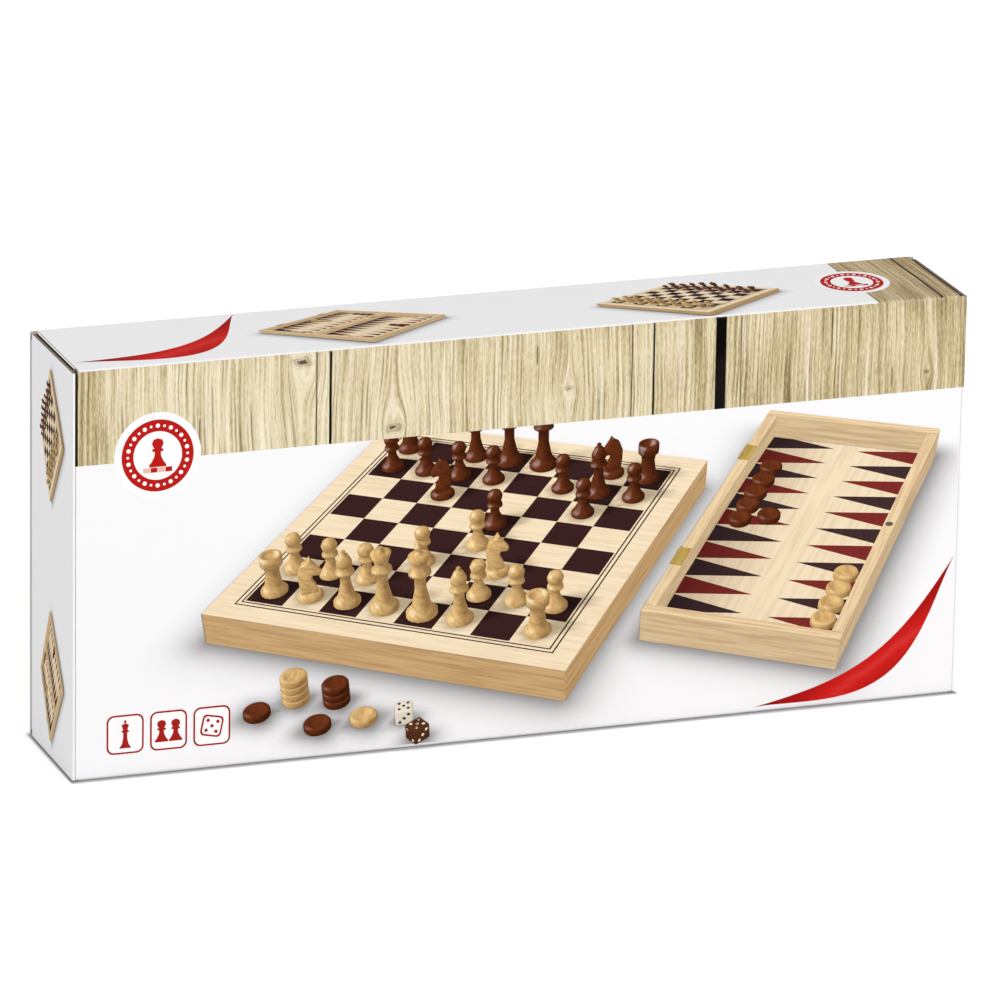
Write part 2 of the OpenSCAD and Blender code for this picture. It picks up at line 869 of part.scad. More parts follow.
color(dark_wood) laid(KNIGHT, 1) knight();  // dark_knights
color(dark_wood) laid(ROOK, 1) rook();  // dark_rooks
color(dark_wood) laid(PAWN, 1) pawn();  // dark_pawns
color(light_wood) draughts(0);  // light_draughts
color(dark_wood) draughts(draught_n);  // dark_draughts
color(ply) dice(3, 0);  // light_dice
color(dark_wood) dice(2, 2);  // dark_dice
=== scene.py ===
from math import cos, exp, hypot, pi, radians, sin

import bmesh
import bpy
from mathutils import Matrix, Vector


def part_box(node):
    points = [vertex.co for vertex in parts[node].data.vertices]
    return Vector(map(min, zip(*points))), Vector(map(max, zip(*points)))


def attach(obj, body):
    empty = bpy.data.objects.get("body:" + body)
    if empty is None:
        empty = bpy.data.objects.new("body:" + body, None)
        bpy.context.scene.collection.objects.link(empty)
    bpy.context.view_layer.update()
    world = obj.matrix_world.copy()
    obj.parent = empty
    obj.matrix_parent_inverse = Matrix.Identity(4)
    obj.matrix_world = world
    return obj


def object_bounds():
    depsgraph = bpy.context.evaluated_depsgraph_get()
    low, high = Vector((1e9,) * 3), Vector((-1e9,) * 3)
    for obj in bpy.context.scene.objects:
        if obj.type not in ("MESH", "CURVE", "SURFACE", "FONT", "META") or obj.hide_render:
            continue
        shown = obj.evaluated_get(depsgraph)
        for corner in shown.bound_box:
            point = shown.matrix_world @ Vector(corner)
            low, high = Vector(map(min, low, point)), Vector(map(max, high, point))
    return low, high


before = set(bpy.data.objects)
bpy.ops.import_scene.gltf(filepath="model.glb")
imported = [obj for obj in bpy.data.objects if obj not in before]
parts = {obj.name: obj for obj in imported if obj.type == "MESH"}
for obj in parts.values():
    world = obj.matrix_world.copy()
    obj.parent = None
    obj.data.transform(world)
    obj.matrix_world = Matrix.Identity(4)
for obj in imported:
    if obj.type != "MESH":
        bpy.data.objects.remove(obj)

cad_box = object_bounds()

# ---------------------------------------------------------------------------
# The stand: a pale seamless floor, far wider than the carton. It is painted
# board lit by the studio, and keeps the carton's shadow; a thin dark line of
# painted contact shadow is laid on it where the carton stands.
# ---------------------------------------------------------------------------


class Reading:
    """A number that a finish reads at each spot, with its sums written as plain sums."""

    def __init__(self, tree, socket):
        self.tree, self.socket = tree, socket

    def by(self, what, *others):
        """The reading after one more step of its sum."""
        made = put(self.tree, "Math", dict(enumerate((self, *others))), operation=what)
        return Reading(self.tree, made.outputs[0])

    def fade(self, start, end, low=0, high=1):
        """Runs evenly from low, where the reading is start or less, to high at end or more."""
        ends = {"Value": self, "From Min": start, "From Max": end, "To Min": low, "To Max": high}
        return Reading(self.tree, put(self.tree, "MapRange", ends).outputs[0])

    __add__ = __radd__ = lambda self, other: self.by("ADD", other)
    __mul__ = __rmul__ = lambda self, other: self.by("MULTIPLY", other)
    __sub__ = lambda self, other: self.by("SUBTRACT", other)
    __rsub__ = lambda self, other: self.by("MULTIPLY_ADD", -1, other)
    __truediv__ = lambda self, other: self.by("DIVIDE", other)
    __gt__ = lambda self, other: self.by("GREATER_THAN", other)
    __lt__ = lambda self, other: self.by("LESS_THAN", other)
    __abs__ = lambda self: self.by("ABSOLUTE")


def feed(tree, node, sockets):
    """Feeds a node's sockets with plain values, readings or the sockets of other nodes."""
    for socket, value in sockets.items():
        if isinstance(value, Reading):
            value = value.socket
        if isinstance(value, bpy.types.NodeSocket):
            tree.links.new(value, node.inputs[socket])
        else:
            node.inputs[socket].default_value = value


def put(tree, kind, sockets=None, **settings):
    """One shader node of a finish, with its sockets fed."""
    made = tree.nodes.new("ShaderNode" + kind)
    for word, value in settings.items():
        setattr(made, word, value)
    feed(tree, made, sockets or {})
    return made


def axes(tree, vector):
    """A vector's three readings: along the carton, into it and up it."""
    return [Reading(tree, part) for part in put(tree, "SeparateXYZ", {0: vector}).outputs]


def blended(share, one, other, way="MIX"):
    """Two colours of a finish, laid one over the other."""
    made = put(share.tree, "Mix", {0: share, 6: one, 7: other}, data_type="RGBA", blend_type=way)
    return made.outputs[2]


def seen_straight(tree):
    """1 for a look at a surface, also in a mirror or through glass, and 0 for the light it throws."""
    ray = put(tree, "LightPath").outputs
    shiny = Reading(tree, ray["Is Glossy Ray"]).by("MAXIMUM", ray["Is Transmission Ray"])
    return shiny.by("MAXIMUM", ray["Is Camera Ray"])


def new_finish(name, **surface):
    """A finish with its plain values on the shader's own sockets."""
    made = bpy.data.materials.new(name)
    made.use_nodes = True
    skin = made.node_tree.nodes["Principled BSDF"]
    feed(made.node_tree, skin, {word.replace("_", " "): value for word, value in surface.items()})
    return made, made.node_tree, skin


def place(mesh, name):
    """Makes a finished bmesh a piece, with its place in its mesh."""
    data = bpy.data.meshes.new(name)
    mesh.to_mesh(data)
    mesh.free()
    made = bpy.data.objects.new(name, data)
    bpy.context.scene.collection.objects.link(made)
    return made


def paint(piece, finish):
    """Gives every material slot of a piece one finish."""
    if not piece.data.materials:
        piece.data.materials.append(finish)
    for slot in piece.material_slots:
        slot.material = finish


floor_reach, floor_white, floor_lift = 9, (0.9, 0.9, 0.9, 1), 0.36
painted_contact_grey, line_from, line_to = (0.46, 0.46, 0.48, 1), 0.0005, 0.0045
thinner = 2.2          # how much thinner the painted contact shadow is at the carton's ends
sweep = bmesh.new()
bmesh.ops.create_grid(sweep, x_segments=1, y_segments=1, size=floor_reach)
sweep = place(sweep, "studio_floor")
floor_paint, tree, skin = new_finish("floor_paint", Roughness=0.7)
where = axes(tree, put(tree, "TexCoord").outputs["Object"])
# the painted contact shadow: in a thin line round the carton's foot the floor turns grey and loses its lift
past_end, past_side = [(abs(where[k]) - cad_box[1][k]).by("MAXIMUM", 0) for k in (0, 1)]
past_end = past_end * thinner
contact = (past_end * past_end + past_side * past_side).by("SQRT").fade(line_from, line_to, 1, 0)
feed(tree, skin, {"Base Color": blended(contact, floor_white, painted_contact_grey)})
glow = seen_straight(tree) * (1 - contact) * floor_lift
lift = put(tree, "Emission", {"Color": (1, 1, 1, 1), "Strength": glow})
both = put(tree, "AddShader", {0: skin.outputs[0], 1: lift.outputs[0]})
feed(tree, tree.nodes["Material Output"], {"Surface": both.outputs[0]})
paint(sweep, floor_paint)

# ---------------------------------------------------------------------------
# The photographer's camera: a long lens some four metres off, a little above
# and to the left of the carton, and leaning a degree.
# ---------------------------------------------------------------------------
carton_l, carton_d, carton_h = 0.45, 0.071, 0.203
half_l, half_w = carton_l / 2, carton_d / 2
heading, dip, lean = radians(19.7), radians(17.87), radians(-0.97)
picture_wide, film_wide, focal_in_pixels = 1000, 36, 8837
ahead = Vector((sin(heading) * cos(dip), cos(heading) * cos(dip), -sin(dip)))
level = Vector((cos(heading), -sin(heading), 0))
below = ahead.cross(level)
across = cos(lean) * level + sin(lean) * below
under = -sin(lean) * level + cos(lean) * below
reach = Vector((-0.996, 0.658, 20.583)) * carton_h     # from the lens to the near bottom corner
near_corner = Vector((-half_l, -half_w, 0))
seat = near_corner - (across * reach.x + under * reach.y + ahead * reach.z)
lens = bpy.data.cameras.new("long_lens")
lens.sensor_width, lens.lens = film_wide, focal_in_pixels * film_wide / picture_wide
lens.clip_start, lens.clip_end = 0.1, 60
camera = bpy.data.objects.new("photographer", lens)
camera.matrix_world = Matrix((
    (across.x, -under.x, -ahead.x, seat.x),
    (across.y, -under.y, -ahead.y, seat.y),
    (across.z, -under.z, -ahead.z, seat.z),
    (0, 0, 0, 1)))
bpy.context.scene.collection.objects.link(camera)
bpy.context.scene.camera = camera

# ---------------------------------------------------------------------------
# The studio's light: an even white tent, with one wide lamp before the carton,
# one over it and a weak one at its end, so that each face has its own tone.
# ---------------------------------------------------------------------------
tent_light = 0.53
tent = bpy.data.worlds.new("white_tent")
bpy.context.scene.world = tent
tent.use_nodes = True
tree = tent.node_tree
glow = seen_straight(tree) * (1 - tent_light) + tent_light
feed(tree, tree.nodes["Background"], {"Color": (1, 1, 1, 1), "Strength": glow})


def lamp(name, spot, aim, width, height, power):
    """A wide soft lamp, pointed at the carton."""
    light = bpy.data.lights.new(name, "AREA")
    light.shape, light.size, light.size_y, light.energy = "RECTANGLE", width, height, power
    made = bpy.data.objects.new(name, light)
    made.location = spot
    made.rotation_mode = "QUATERNION"
    made.rotation_quaternion = (Vector(aim) - Vector(spot)).to_track_quat("-Z", "Y")
    bpy.context.scene.collection.objects.link(made)


lamp("front_lamp", (0.9, -2.6, 1.6), (0, 0, 0.1), 1.8, 1.4, 41.5)
lamp("top_lamp", (-0.2, 0.3, 2.6), (0, 0, 0.1), 2.0, 2.0, 7.5)
lamp("end_lamp", (-2.4, -0.6, 1.2), (-0.2, 0, 0.1), 1.2, 1.2, 10)
bpy.context.scene.view_settings.view_transform = "Standard"
bpy.context.view_layer.update()

# ---------------------------------------------------------------------------
# The carton's sleeve and ends: one sheet of 1.5 mm fluted board, white and
# varnished outside, grey inside, printed with old planks along the top of the
# front, cut with a steel rule, folded at its creases and glued at the back.
# ---------------------------------------------------------------------------
band_h = 0.0465        # the planks' band, from the top crease down the front
band_end = 0.179       # where the band starts on the top panel
flute_pitch = 0.0013


def tone(red, green, blue):
    """A colour as a printer reads it off a chart, 0 to 255, for a shader."""
    level = [v / 255 for v in (red, green, blue)]
    return (*[v / 12.92 if v <= 0.04045 else ((v + 0.055) / 1.055) ** 2.4 for v in level], 1.0)


def shared(name, takes, gives):
    """An effect that several finishes use, as a group with named sockets."""
    kinds = {1: "Float", 3: "Vector", 4: "Color"}
    group = bpy.data.node_groups.new(name, "ShaderNodeTree")
    for word, start in takes.items():
        kind = "NodeSocket" + kinds[1 if isinstance(start, float) else len(start)]
        group.interface.new_socket(word, in_out="INPUT", socket_type=kind).default_value = start
    for word, kind in gives.items():
        group.interface.new_socket(word, in_out="OUTPUT", socket_type="NodeSocket" + kind)
    told = group.nodes.new("NodeGroupInput").outputs
    return group, {word: Reading(group, told[word]) for word in takes}, group.nodes.new("NodeGroupOutput")


def using(tree, group, sockets):
    """One use of a shared effect in a finish."""
    made = put(tree, "Group", node_tree=group)
    feed(tree, made, sockets)
    return made.outputs


def mottle(tree, where, scale, detail=2, rough=0.5):
    """An even random mottle."""
    sizing = {"Vector": where, "Scale": scale, "Detail": detail, "Roughness": rough}
    return Reading(tree, put(tree, "TexNoise", sizing).outputs[0])


def toward(tree, vector, way):
    """How far a vector goes one way."""
    made = put(tree, "VectorMath", {0: vector, 1: way}, operation="DOT_PRODUCT")
    return Reading(tree, made.outputs["Value"])


def line(where, middle, half, soft):
    """A mask of 1 within half a width of a line, fading over the soft edge."""
    return abs(where - middle).fade(half, half + soft, 1, 0)


# Weathered planks, seen square on: Run goes from plank to plank and Rise up the grain, in metres.
planks, told, out = shared("old_planks", {"Run": 0.0, "Rise": 0.0}, {"Color": "Color"})
run, rise = told["Run"], told["Rise"]


def streaks(over, across, along, detail=2, rough=0.5, layer=0.0):
    """Mottle drawn out along the planks, so many to the metre across the grain and along it."""
    spot = put(planks, "CombineXYZ", {0: over * across, 1: rise * along, 2: layer})
    return mottle(planks, spot.outputs[0], 1, detail, rough)


knots = (              # the run and rise of each knot, and its width
    (-0.112, 0.198, 0.0058), (-0.0665, 0.1622, 0.0052), (0.099, 0.244, 0.004),
    (0.0215, 0.1735, 0.0026), (0.205, 0.166, 0.002))
gaps = (               # the run of each dark gap, half of its width, and how dark it is
    (-0.2233, 0.0007, 0.97), (-0.1052, 0.0002, 0.9), (-0.0982, 0.0005, 1.0),
    (0.053, 0.00016, 0.85), (0.0642, 0.0003, 1.0), (0.0983, 0.0025, 1.0),
    (0.1086, 0.00018, 0.7), (0.2122, 0.00045, 1.0), (0.2217, 0.0004, 1.0))
top_only = 0.2         # the gaps past this run show on the top panel alone
cracks = (             # the run of each fine crack, its top and its foot
    (0.1552, 0.2005, 0.178), (-0.163, 0.1745, 0.162), (0.005, 0.196, 0.187), (0.187, 0.17, 0.16))

# the grain flows round each knot and wanders a little
bend = 0
for knot_run, knot_rise, wide in knots:
    aside = (run - knot_run) / (wide * 1.6)
    along = (rise - knot_rise) / (wide * 3.6)
    bend = bend + aside / (aside * aside + along * along + 0.5) * (wide * 1.25)
grain_run = run - bend + streaks(run, 9, 14) * 0.006
fine = streaks(grain_run, 620, 11, 3, 0.62)
broad = streaks(grain_run, 85, 5)
grit = streaks(run, 1700, 300, 1)
blotch = streaks(run, 26, 26)
share = fine * 0.66 + broad * 0.34 + grit * 0.2 - blotch * 0.14 - 0.03

# the planks at the right are duller than those at the left, and the left edge is dark
share = share - run * 0.2 - 0.004 + run.fade(-0.222, -0.2, -0.16, 0)
bleached = put(planks, "ValToRGB", {0: share * 1.3 - 0.15})
stops = ((0.26, tone(134, 116, 80)), (0.38, tone(183, 166, 124)), (0.47, tone(212, 196, 158)),
         (0.56, tone(230, 217, 184)), (0.7, tone(243, 234, 208)))
while len(bleached.color_ramp.elements) < len(stops):
    bleached.color_ramp.elements.new(1)
for element, (place_on, colour) in zip(bleached.color_ramp.elements, stops):
    element.position, element.color = place_on, colour
streak = streaks(grain_run, 760, 16, 1, layer=4.0).fade(0.31, 0.41, 0.62, 0)
wood = blended(streak, bleached.outputs[0], tone(118, 100, 70))

# the top panel is browner than the front
aged = (rise + broad * 0.01 - 0.005).fade(0.2, 0.208, 0, 0.3)
wood = blended(aged, wood, tone(158, 118, 74))

warp = streaks(run, 210, 260, 3) * 1.5 - 0.75
for knot_run, knot_rise, wide in knots:
    aside = (run - knot_run) / wide
    along = (rise - knot_rise) / (wide * 0.62)
    far = (aside * aside + along * along).by("SQRT") + warp
    rings = (far * 13).by("SINE") * 0.22 + 0.5
    wood = blended(far.fade(0.35, 1.25, 1, 0) * rings, wood, tone(118, 90, 52))
    wood = blended(far.fade(0.12, 0.34, 0.85, 0), wood, tone(66, 50, 32))

ragged = run + broad * 0.0012 - 0.0006
for gap_run, half, depth in gaps:
    gap = line(ragged, gap_run, half, 0.0003) * depth
    if gap_run > top_only:
        gap = gap * (rise > carton_h)
    wood = blended(gap, wood, tone(9, 7, 6))
for crack_run, top, foot in cracks:
    tall = top - foot
    crack = line(ragged, crack_run, 0.00012, 0.0005) * line(rise, (top + foot) / 2, tall / 2.6, tall / 5)
    wood = blended(crack * 0.75, wood, tone(60, 48, 30))
feed(planks, out, {"Color": wood})

# Coated board: how the white side, the grey side and the cut edges look, with rubbed creases.
white = (1, 1, 1, 1)
stock, told, out = shared(
    "board_stock",
    {"Outer": 0.0, "Edge": 0.0, "Print": white, "Wear": 0.0, "Liner": white, "Flute": white},
    {"Color": "Color", "Roughness": "Float", "Height": "Float"})
spot = put(stock, "TexCoord").outputs["Object"]
fibre = mottle(stock, spot, 900, 3, 0.7)
cloud = mottle(stock, spot, 34)
peel = mottle(stock, spot, 260, 1)
grey = blended(fibre, tone(164, 154, 140), tone(196, 188, 175))
grey = blended(cloud * 0.35, grey, tone(178, 167, 150))
x, y, z = axes(stock, spot)
flute = ((x + y + z) * (2 * pi / flute_pitch)).by("SINE") * 0.5 + 0.5
cut = blended(flute, told["Flute"], told["Liner"])
cut = blended(fibre * 0.4, cut, told["Liner"])
faded = blended((cloud * 0.08 - 0.038).by("MAXIMUM", 0), told["Print"], tone(226, 222, 214))
rubbed = (told["Wear"] + fibre * 0.9 - 0.45).fade(0.62, 1.0)
faded = blended(rubbed * 0.75, faded, tone(232, 228, 220))
feed(stock, out, {
    "Color": blended(told["Edge"], blended(told["Outer"], grey, faded), cut),
    "Roughness": told["Outer"] * -0.42 + 0.78 + cloud * 0.08 + rubbed * 0.2,
    "Height": peel * 0.25 + (1 - told["Outer"]) * fibre})

ink_white = tone(246, 245, 246)
clean_cut = (tone(236, 233, 228), tone(214, 208, 198))     # the liners and the flutes of a cut edge
painted_shade_cut = (tone(150, 138, 122), tone(108, 96, 82))        # the same darkened as painted shade, for the end flaps' edges seen in the slits
crease_half, crease_soft = 0.0001, 0.0022
flap_edge = 0.0016     # how far the dark line painted in the slit above a closure reaches down the flap


def board_finish(name, outward, creases=(), printed=False, cut=clean_cut, slit_shade_and_print=None):
    """The carton's board: outward says which way its white side looks, creases where it folds,
    and slit_shade_and_print the level, margin and tone of a dark line painted in the slit above a closure:
    painted shade at the left end, the brown of the planks' print at the right."""
    made, tree, skin = new_finish(name, Specular_IOR_Level=0.02)
    coord = put(tree, "TexCoord").outputs
    x, y, z = where = axes(tree, coord["Object"])
    turned = [toward(tree, coord["Normal"], way) for way in outward]
    most = turned[0]
    for other in turned[1:]:
        most = most.by("MAXIMUM", other)
    outer = most.fade(0.2, 0.3)
    wear = 0.0
    for axis, level in creases:
        wear = line(where[axis], level, crease_half, crease_soft).by("MAXIMUM", wear)
    ink = ink_white
    if printed:
        wood = using(tree, planks, {"Run": x, "Rise": y + half_w + z})["Color"]
        on_front = (z > carton_h - band_h) * (z < carton_h - 0.0006)
        on_front = on_front * (y < 0.0013 - half_w) * (x > 0.0011 - half_l)
        on_top = (x > band_end) * (z > carton_h - 0.002)
        ink = blended(on_front.by("MAXIMUM", on_top), ink_white, wood)
    # a dark line painted along the flap's crease in the slit: painted shade at the left end, the planks'
    # brown print at the right
    if slit_shade_and_print:
        level, margin, shadow = slit_shade_and_print
        ink = blended(line(abs(z - level), flap_edge, flap_edge - margin, 0.00012), ink_white, shadow)
    look = using(tree, stock, {
        "Outer": outer, "Edge": (abs(turned[0]) < 0.2) * (1 - outer),
        "Print": ink, "Wear": wear, "Liner": cut[0], "Flute": cut[1]})
    bump = put(tree, "Bump", {"Strength": 0.12, "Distance": 0.0003, "Height": look["Height"]})
    feed(tree, skin, {
        "Base Color": look["Color"], "Roughness": look["Roughness"], "Normal": bump.outputs[0]})
    return made


both_ends = (-1, 0, 0), (1, 0, 0)
round_the_sleeve, along_the_top = ((2, 0.0), (2, carton_h)), ((1, -half_w), (1, half_w))
for panel, way, creases, printed in (
        ("front", (0, -1, 0), round_the_sleeve, True), ("top", (0, 0, 1), along_the_top, True),
        ("back", (0, 1, 0), round_the_sleeve, False), ("bottom", (0, 0, -1), along_the_top, False)):
    finish = board_finish(panel + "_board", [way, *both_ends], creases, printed)
    paint(parts[panel + "_panel"], finish)
paint(parts["glue_flap"], board_finish("glued_board", [(0, 1, 0)]))
# the tone painted in the slit above each closure: near black as painted shade at the left, brown as the
# planks' print at the right
for side, way, margin, slit in (("left", -1, 0.0002, tone(30, 26, 23)), ("right", 1, 0.0, tone(92, 62, 46))):
    for flap, node, outward, printed, slit_shade_and_print in (
            ("closure", "closure", [(way, 0, 0), (way * 0.3, -1, 0)], True, None),
            ("tuck", "tuck_flap", [(0, 1, 0), (way, 0.3, 0)], False, None),
            ("top_dust", "top_dust_flap", [(way, 0, 0), (way * 0.3, 0, 1)], False,
             (carton_h, margin, slit)),
            ("bottom_dust", "bottom_dust_flap", [(way, 0, 0), (way * 0.3, 0, -1)], False,
             (0.0, margin, slit))):
        finish = board_finish(f"{side}_{flap}_board", outward, (), printed, painted_shade_cut, slit_shade_and_print)
        paint(parts[f"{side}_{node}"], finish)

# ---------------------------------------------------------------------------
# The big picture on the front: an opened games board with its men, a tray of
# points and loose counters, printed in four colours under the varnish. It is
# made as a little stage of board and men, then pressed flat as a printed skin.
# ---------------------------------------------------------------------------
ink_deep = 0.00022     # how deep the pressed picture is, in metres
ink_lift = 0.00004     # how far its back stands off the board
sun = Vector((-0.55, -0.5, 0.85)).normalized()
shine_way = (sun + Vector((0.1, -0.8, 0.5))).normalized()

print_ink, tree, skin = new_finish("printed_picture", Specular_IOR_Level=0.004)
drawn = put(tree, "VertexColor", layer_name="ink").outputs
veins = mottle(tree, put(tree, "UVMap", uv_map="grain").outputs[0], 1, 3, 0.6)
vein = veins.fade(0.42, 0.66, 0.12, 1) * Reading(tree, drawn["Alpha"]) * 0.9
feed(tree, skin, {
    "Base Color": blended(vein, drawn["Color"], tone(168, 120, 66), "MULTIPLY"),
    "Roughness": veins * 0.06 + 0.39})

shadow_ink, tree, skin = new_finish(
    "printed_shadow", Base_Color=tone(70, 62, 58), Roughness=0.45, Specular_IOR_Level=0.004)
feed(tree, skin, {"Alpha": put(tree, "VertexColor", layer_name="ink").outputs["Color"]})

lime_wood, pale_wood, edge_wood = tone(240, 214, 172), tone(246, 227, 194), tone(226, 190, 138)
dark_square, line_ink = tone(58, 34, 34), tone(46, 34, 30)
light_man, dark_man = tone(240, 202, 138), tone(118, 60, 32)
dark_point, red_point = tone(66, 46, 48), tone(128, 46, 42)
brass_ink, steel_ink = tone(196, 168, 92), tone(92, 90, 88)

rim, board_wide, board_thick = 0.75, 9.5, 0.85     # the stage is measured in squares of the board
tray_wall, tray_floor = 0.28, 0.2
counter_pitch = 0.66


def stage():
    """An empty bmesh that carries ink and grain."""
    mesh = bmesh.new()
    mesh.loops.layers.float_color.new("ink")
    mesh.loops.layers.uv.new("grain")
    return mesh


def new_faces(mesh, old):
    """The faces made since the old ones were noted."""
    return [face for face in mesh.faces if face not in old]


def corners(faces):
    """The vertices of some faces, in an order that is the same each run."""
    return list(dict.fromkeys(v for face in faces for v in face.verts))


def coat(mesh, faces, colour, shade=None, grain=None, veined=0.0):
    """Inks some faces: shade gives the light at a vertex, grain where the wood's grain runs."""
    ink, uv = mesh.loops.layers.float_color["ink"], mesh.loops.layers.uv["grain"]
    for loop in [loop for face in faces for loop in face.loops]:
        lit = max(0.0, shade(loop.vert)) if shade else 1.0
        gloss = max(0.0, lit - 1.0)
        # shade is warmer than light: the weaker a colour's share, the sooner it goes
        inked = [min(1.0, c * min(lit, 1.0) ** (1.4 - 0.4 * c) + gloss) for c in colour[:3]]
        loop[ink] = (*inked, veined)
        loop[uv].uv = grain(loop.vert.co) if grain else (0.0, 0.0)


def soften(mesh, faces, size, steps):
    """Rounds every edge of some faces."""
    edges = list(dict.fromkeys(e for face in faces for e in face.edges))
    bmesh.ops.bevel(mesh, geom=edges, offset=size, offset_type="OFFSET", affect="EDGES",
                    segments=steps, profile=0.5, material=-1, clamp_overlap=True)


def rounded_light(vert):
    """How a turned, waxed piece takes the light: bright to the left, a soft shine at the shoulder."""
    shine = max(0.0, vert.normal.dot(shine_way)) ** 28
    return 0.4 + 0.6 * max(0.0, vert.normal.dot(sun)) ** 0.85 + 0.4 * shine


def wax(mesh, faces, x, y, colour):
    """Inks a man as waxed wood, whose grain shifts with its place on the stage."""
    for v in corners(faces):
        v.normal_update()
    grain = lambda p: (12 * p.z + 5 * p.x + x, 4 * p.x + 3 * p.y + y)
    coat(mesh, faces, colour, rounded_light, grain, 0.5)


MEN = {                # radius and height of each man's rings
    "pawn": ((0.30, 0), (0.30, 0.07), (0.25, 0.13), (0.2, 0.2), (0.12, 0.36), (0.1, 0.52), (0.2, 0.56),
             (0.19, 0.62), (0.12, 0.65), (0.18, 0.74), (0.2, 0.84), (0.15, 0.95), (0, 1.0)),
    "rook": ((0.33, 0), (0.33, 0.08), (0.26, 0.15), (0.21, 0.25), (0.17, 0.55), (0.2, 0.74),
             (0.27, 0.78), (0.27, 1.02), (0.2, 1.02), (0.19, 0.93), (0, 0.93)),
    "bishop": ((0.33, 0), (0.33, 0.08), (0.26, 0.15), (0.2, 0.26), (0.13, 0.55), (0.12, 0.8),
               (0.23, 0.85), (0.22, 0.9), (0.13, 0.94), (0.19, 1.06), (0.19, 1.16), (0.11, 1.33),
               (0.04, 1.37), (0.06, 1.43), (0, 1.48)),
    "queen": ((0.36, 0), (0.36, 0.09), (0.28, 0.17), (0.21, 0.3), (0.13, 0.68), (0.13, 1.0),
              (0.25, 1.06), (0.24, 1.12), (0.14, 1.17), (0.18, 1.34), (0.25, 1.54), (0.16, 1.56),
              (0.06, 1.6), (0.08, 1.67), (0, 1.73)),
    "king": ((0.38, 0), (0.38, 0.1), (0.29, 0.18), (0.22, 0.32), (0.14, 0.72), (0.14, 1.08),
             (0.27, 1.14), (0.26, 1.2), (0.15, 1.26), (0.2, 1.45), (0.26, 1.62), (0.16, 1.66),
             (0.05, 1.7), (0.05, 1.78), (0.1, 1.8), (0.1, 1.86), (0.05, 1.88), (0.04, 1.96), (0, 1.97)),
    "horse_foot": ((0.32, 0), (0.32, 0.08), (0.25, 0.14), (0.22, 0.16), (0, 0.16)),
    "counter": ((0.29, 0), (0.31, 0.03), (0.31, 0.15), (0.29, 0.18), (0.2, 0.18), (0.18, 0.165), (0, 0.165)),
}
HORSE_HEAD = (         # its outline from the side
    (-0.2, 0.1), (0.2, 0.1), (0.17, 0.3), (0.06, 0.52), (0.1, 0.62), (0.26, 0.6), (0.31, 0.7),
    (0.2, 0.84), (0.08, 1.02), (0.05, 1.12), (-0.02, 1.02), (-0.16, 0.94), (-0.25, 0.7), (-0.24, 0.42))
horse_half, horse_tall = 0.1, 1.0


def turn_man(mesh, kind, x, y, z, colour, sides=18):
    """Spins one man from its rings and stands it on the stage at x, y, z."""
    old = set(mesh.faces)
    rings = [mesh.verts.new((r, 0, h)) for r, h in MEN[kind]]
    edges = [mesh.edges.new(pair) for pair in zip(rings, rings[1:])]
    bmesh.ops.spin(mesh, geom=rings + edges, cent=(0, 0, 0), axis=(0, 0, 1), angle=2 * pi, steps=sides,
                   use_merge=True)
    bmesh.ops.remove_doubles(mesh, verts=corners(new_faces(mesh, old)), dist=0.0005)
    man = new_faces(mesh, old)
    bmesh.ops.recalc_face_normals(mesh, faces=man)
    wax(mesh, man, x, y, colour)
    bmesh.ops.translate(mesh, vec=(x, y, z), verts=corners(man))


def carve_horse(mesh, x, y, z, colour, way):
    """A horse's head cut from board on a turned foot, looking along way."""
    old = set(mesh.faces)
    face = mesh.faces.new([mesh.verts.new((way * a, -horse_half, b)) for a, b in HORSE_HEAD])
    made = bmesh.ops.extrude_face_region(mesh, geom=[face])["geom"]
    far_side = [v for v in made if isinstance(v, bmesh.types.BMVert)]
    bmesh.ops.translate(mesh, vec=(0, 2 * horse_half, 0), verts=far_side)
    soften(mesh, new_faces(mesh, old), 0.04, 2)
    head = new_faces(mesh, old)
    bmesh.ops.recalc_face_normals(mesh, faces=head)
    wax(mesh, head, x, y, colour)
    bmesh.ops.rotate(mesh, cent=(0, 0, 0), matrix=Matrix.Rotation(0.6, 3, "Z"), verts=corners(head))
    bmesh.ops.translate(mesh, vec=(x, y, z), verts=corners(head))
    turn_man(mesh, "horse_foot", x, y, z, colour)


def cast(feet):
    """The light on a board: soft contact shadows of what stands on it, falling back to the right."""
    drift = Vector((-sun.x, -sun.y)).normalized()
    reach = 2.6            # past this no man shades the board

    def shade(vert):
        lit = 1.0
        for x, y, radius, tall in feet:
            off = Vector((vert.co.x - x, vert.co.y - y))
            if max(abs(off.x), abs(off.y)) > reach:
                continue
            along = min(max(off.dot(drift), 0.0), tall * 0.62)
            near = (off - drift * along).length / (radius * (1 - 0.25 * along))
            lit *= 1 - 0.62 * (1 - along * 0.5) / (1 + exp((near - 1.05) * 7))
        return lit
    return shade


def slab(mesh, low, high, colour, run=0):
    """A squared bar of the stage, its top paler than its sides, with its grain along x or y."""
    old = set(mesh.faces)
    for v in bmesh.ops.create_cube(mesh, size=1)["verts"]:
        v.co = Vector([a + (b - a) * (c + 0.5) for a, b, c in zip(low, high, v.co)])
    grain = lambda p: (p[run] * 0.5 + low[1] * 3, (p[1 - run] + p.z) * 9 + low[0])
    for face in new_faces(mesh, old):
        face.normal_update()
        x, y, z = face.normal
        lit = 1.0 if z > 0.5 else 0.9 if x < -0.5 else 0.8 if y < -0.5 else 0.72
        coat(mesh, [face], colour, lambda vert: lit, grain, 0.45)


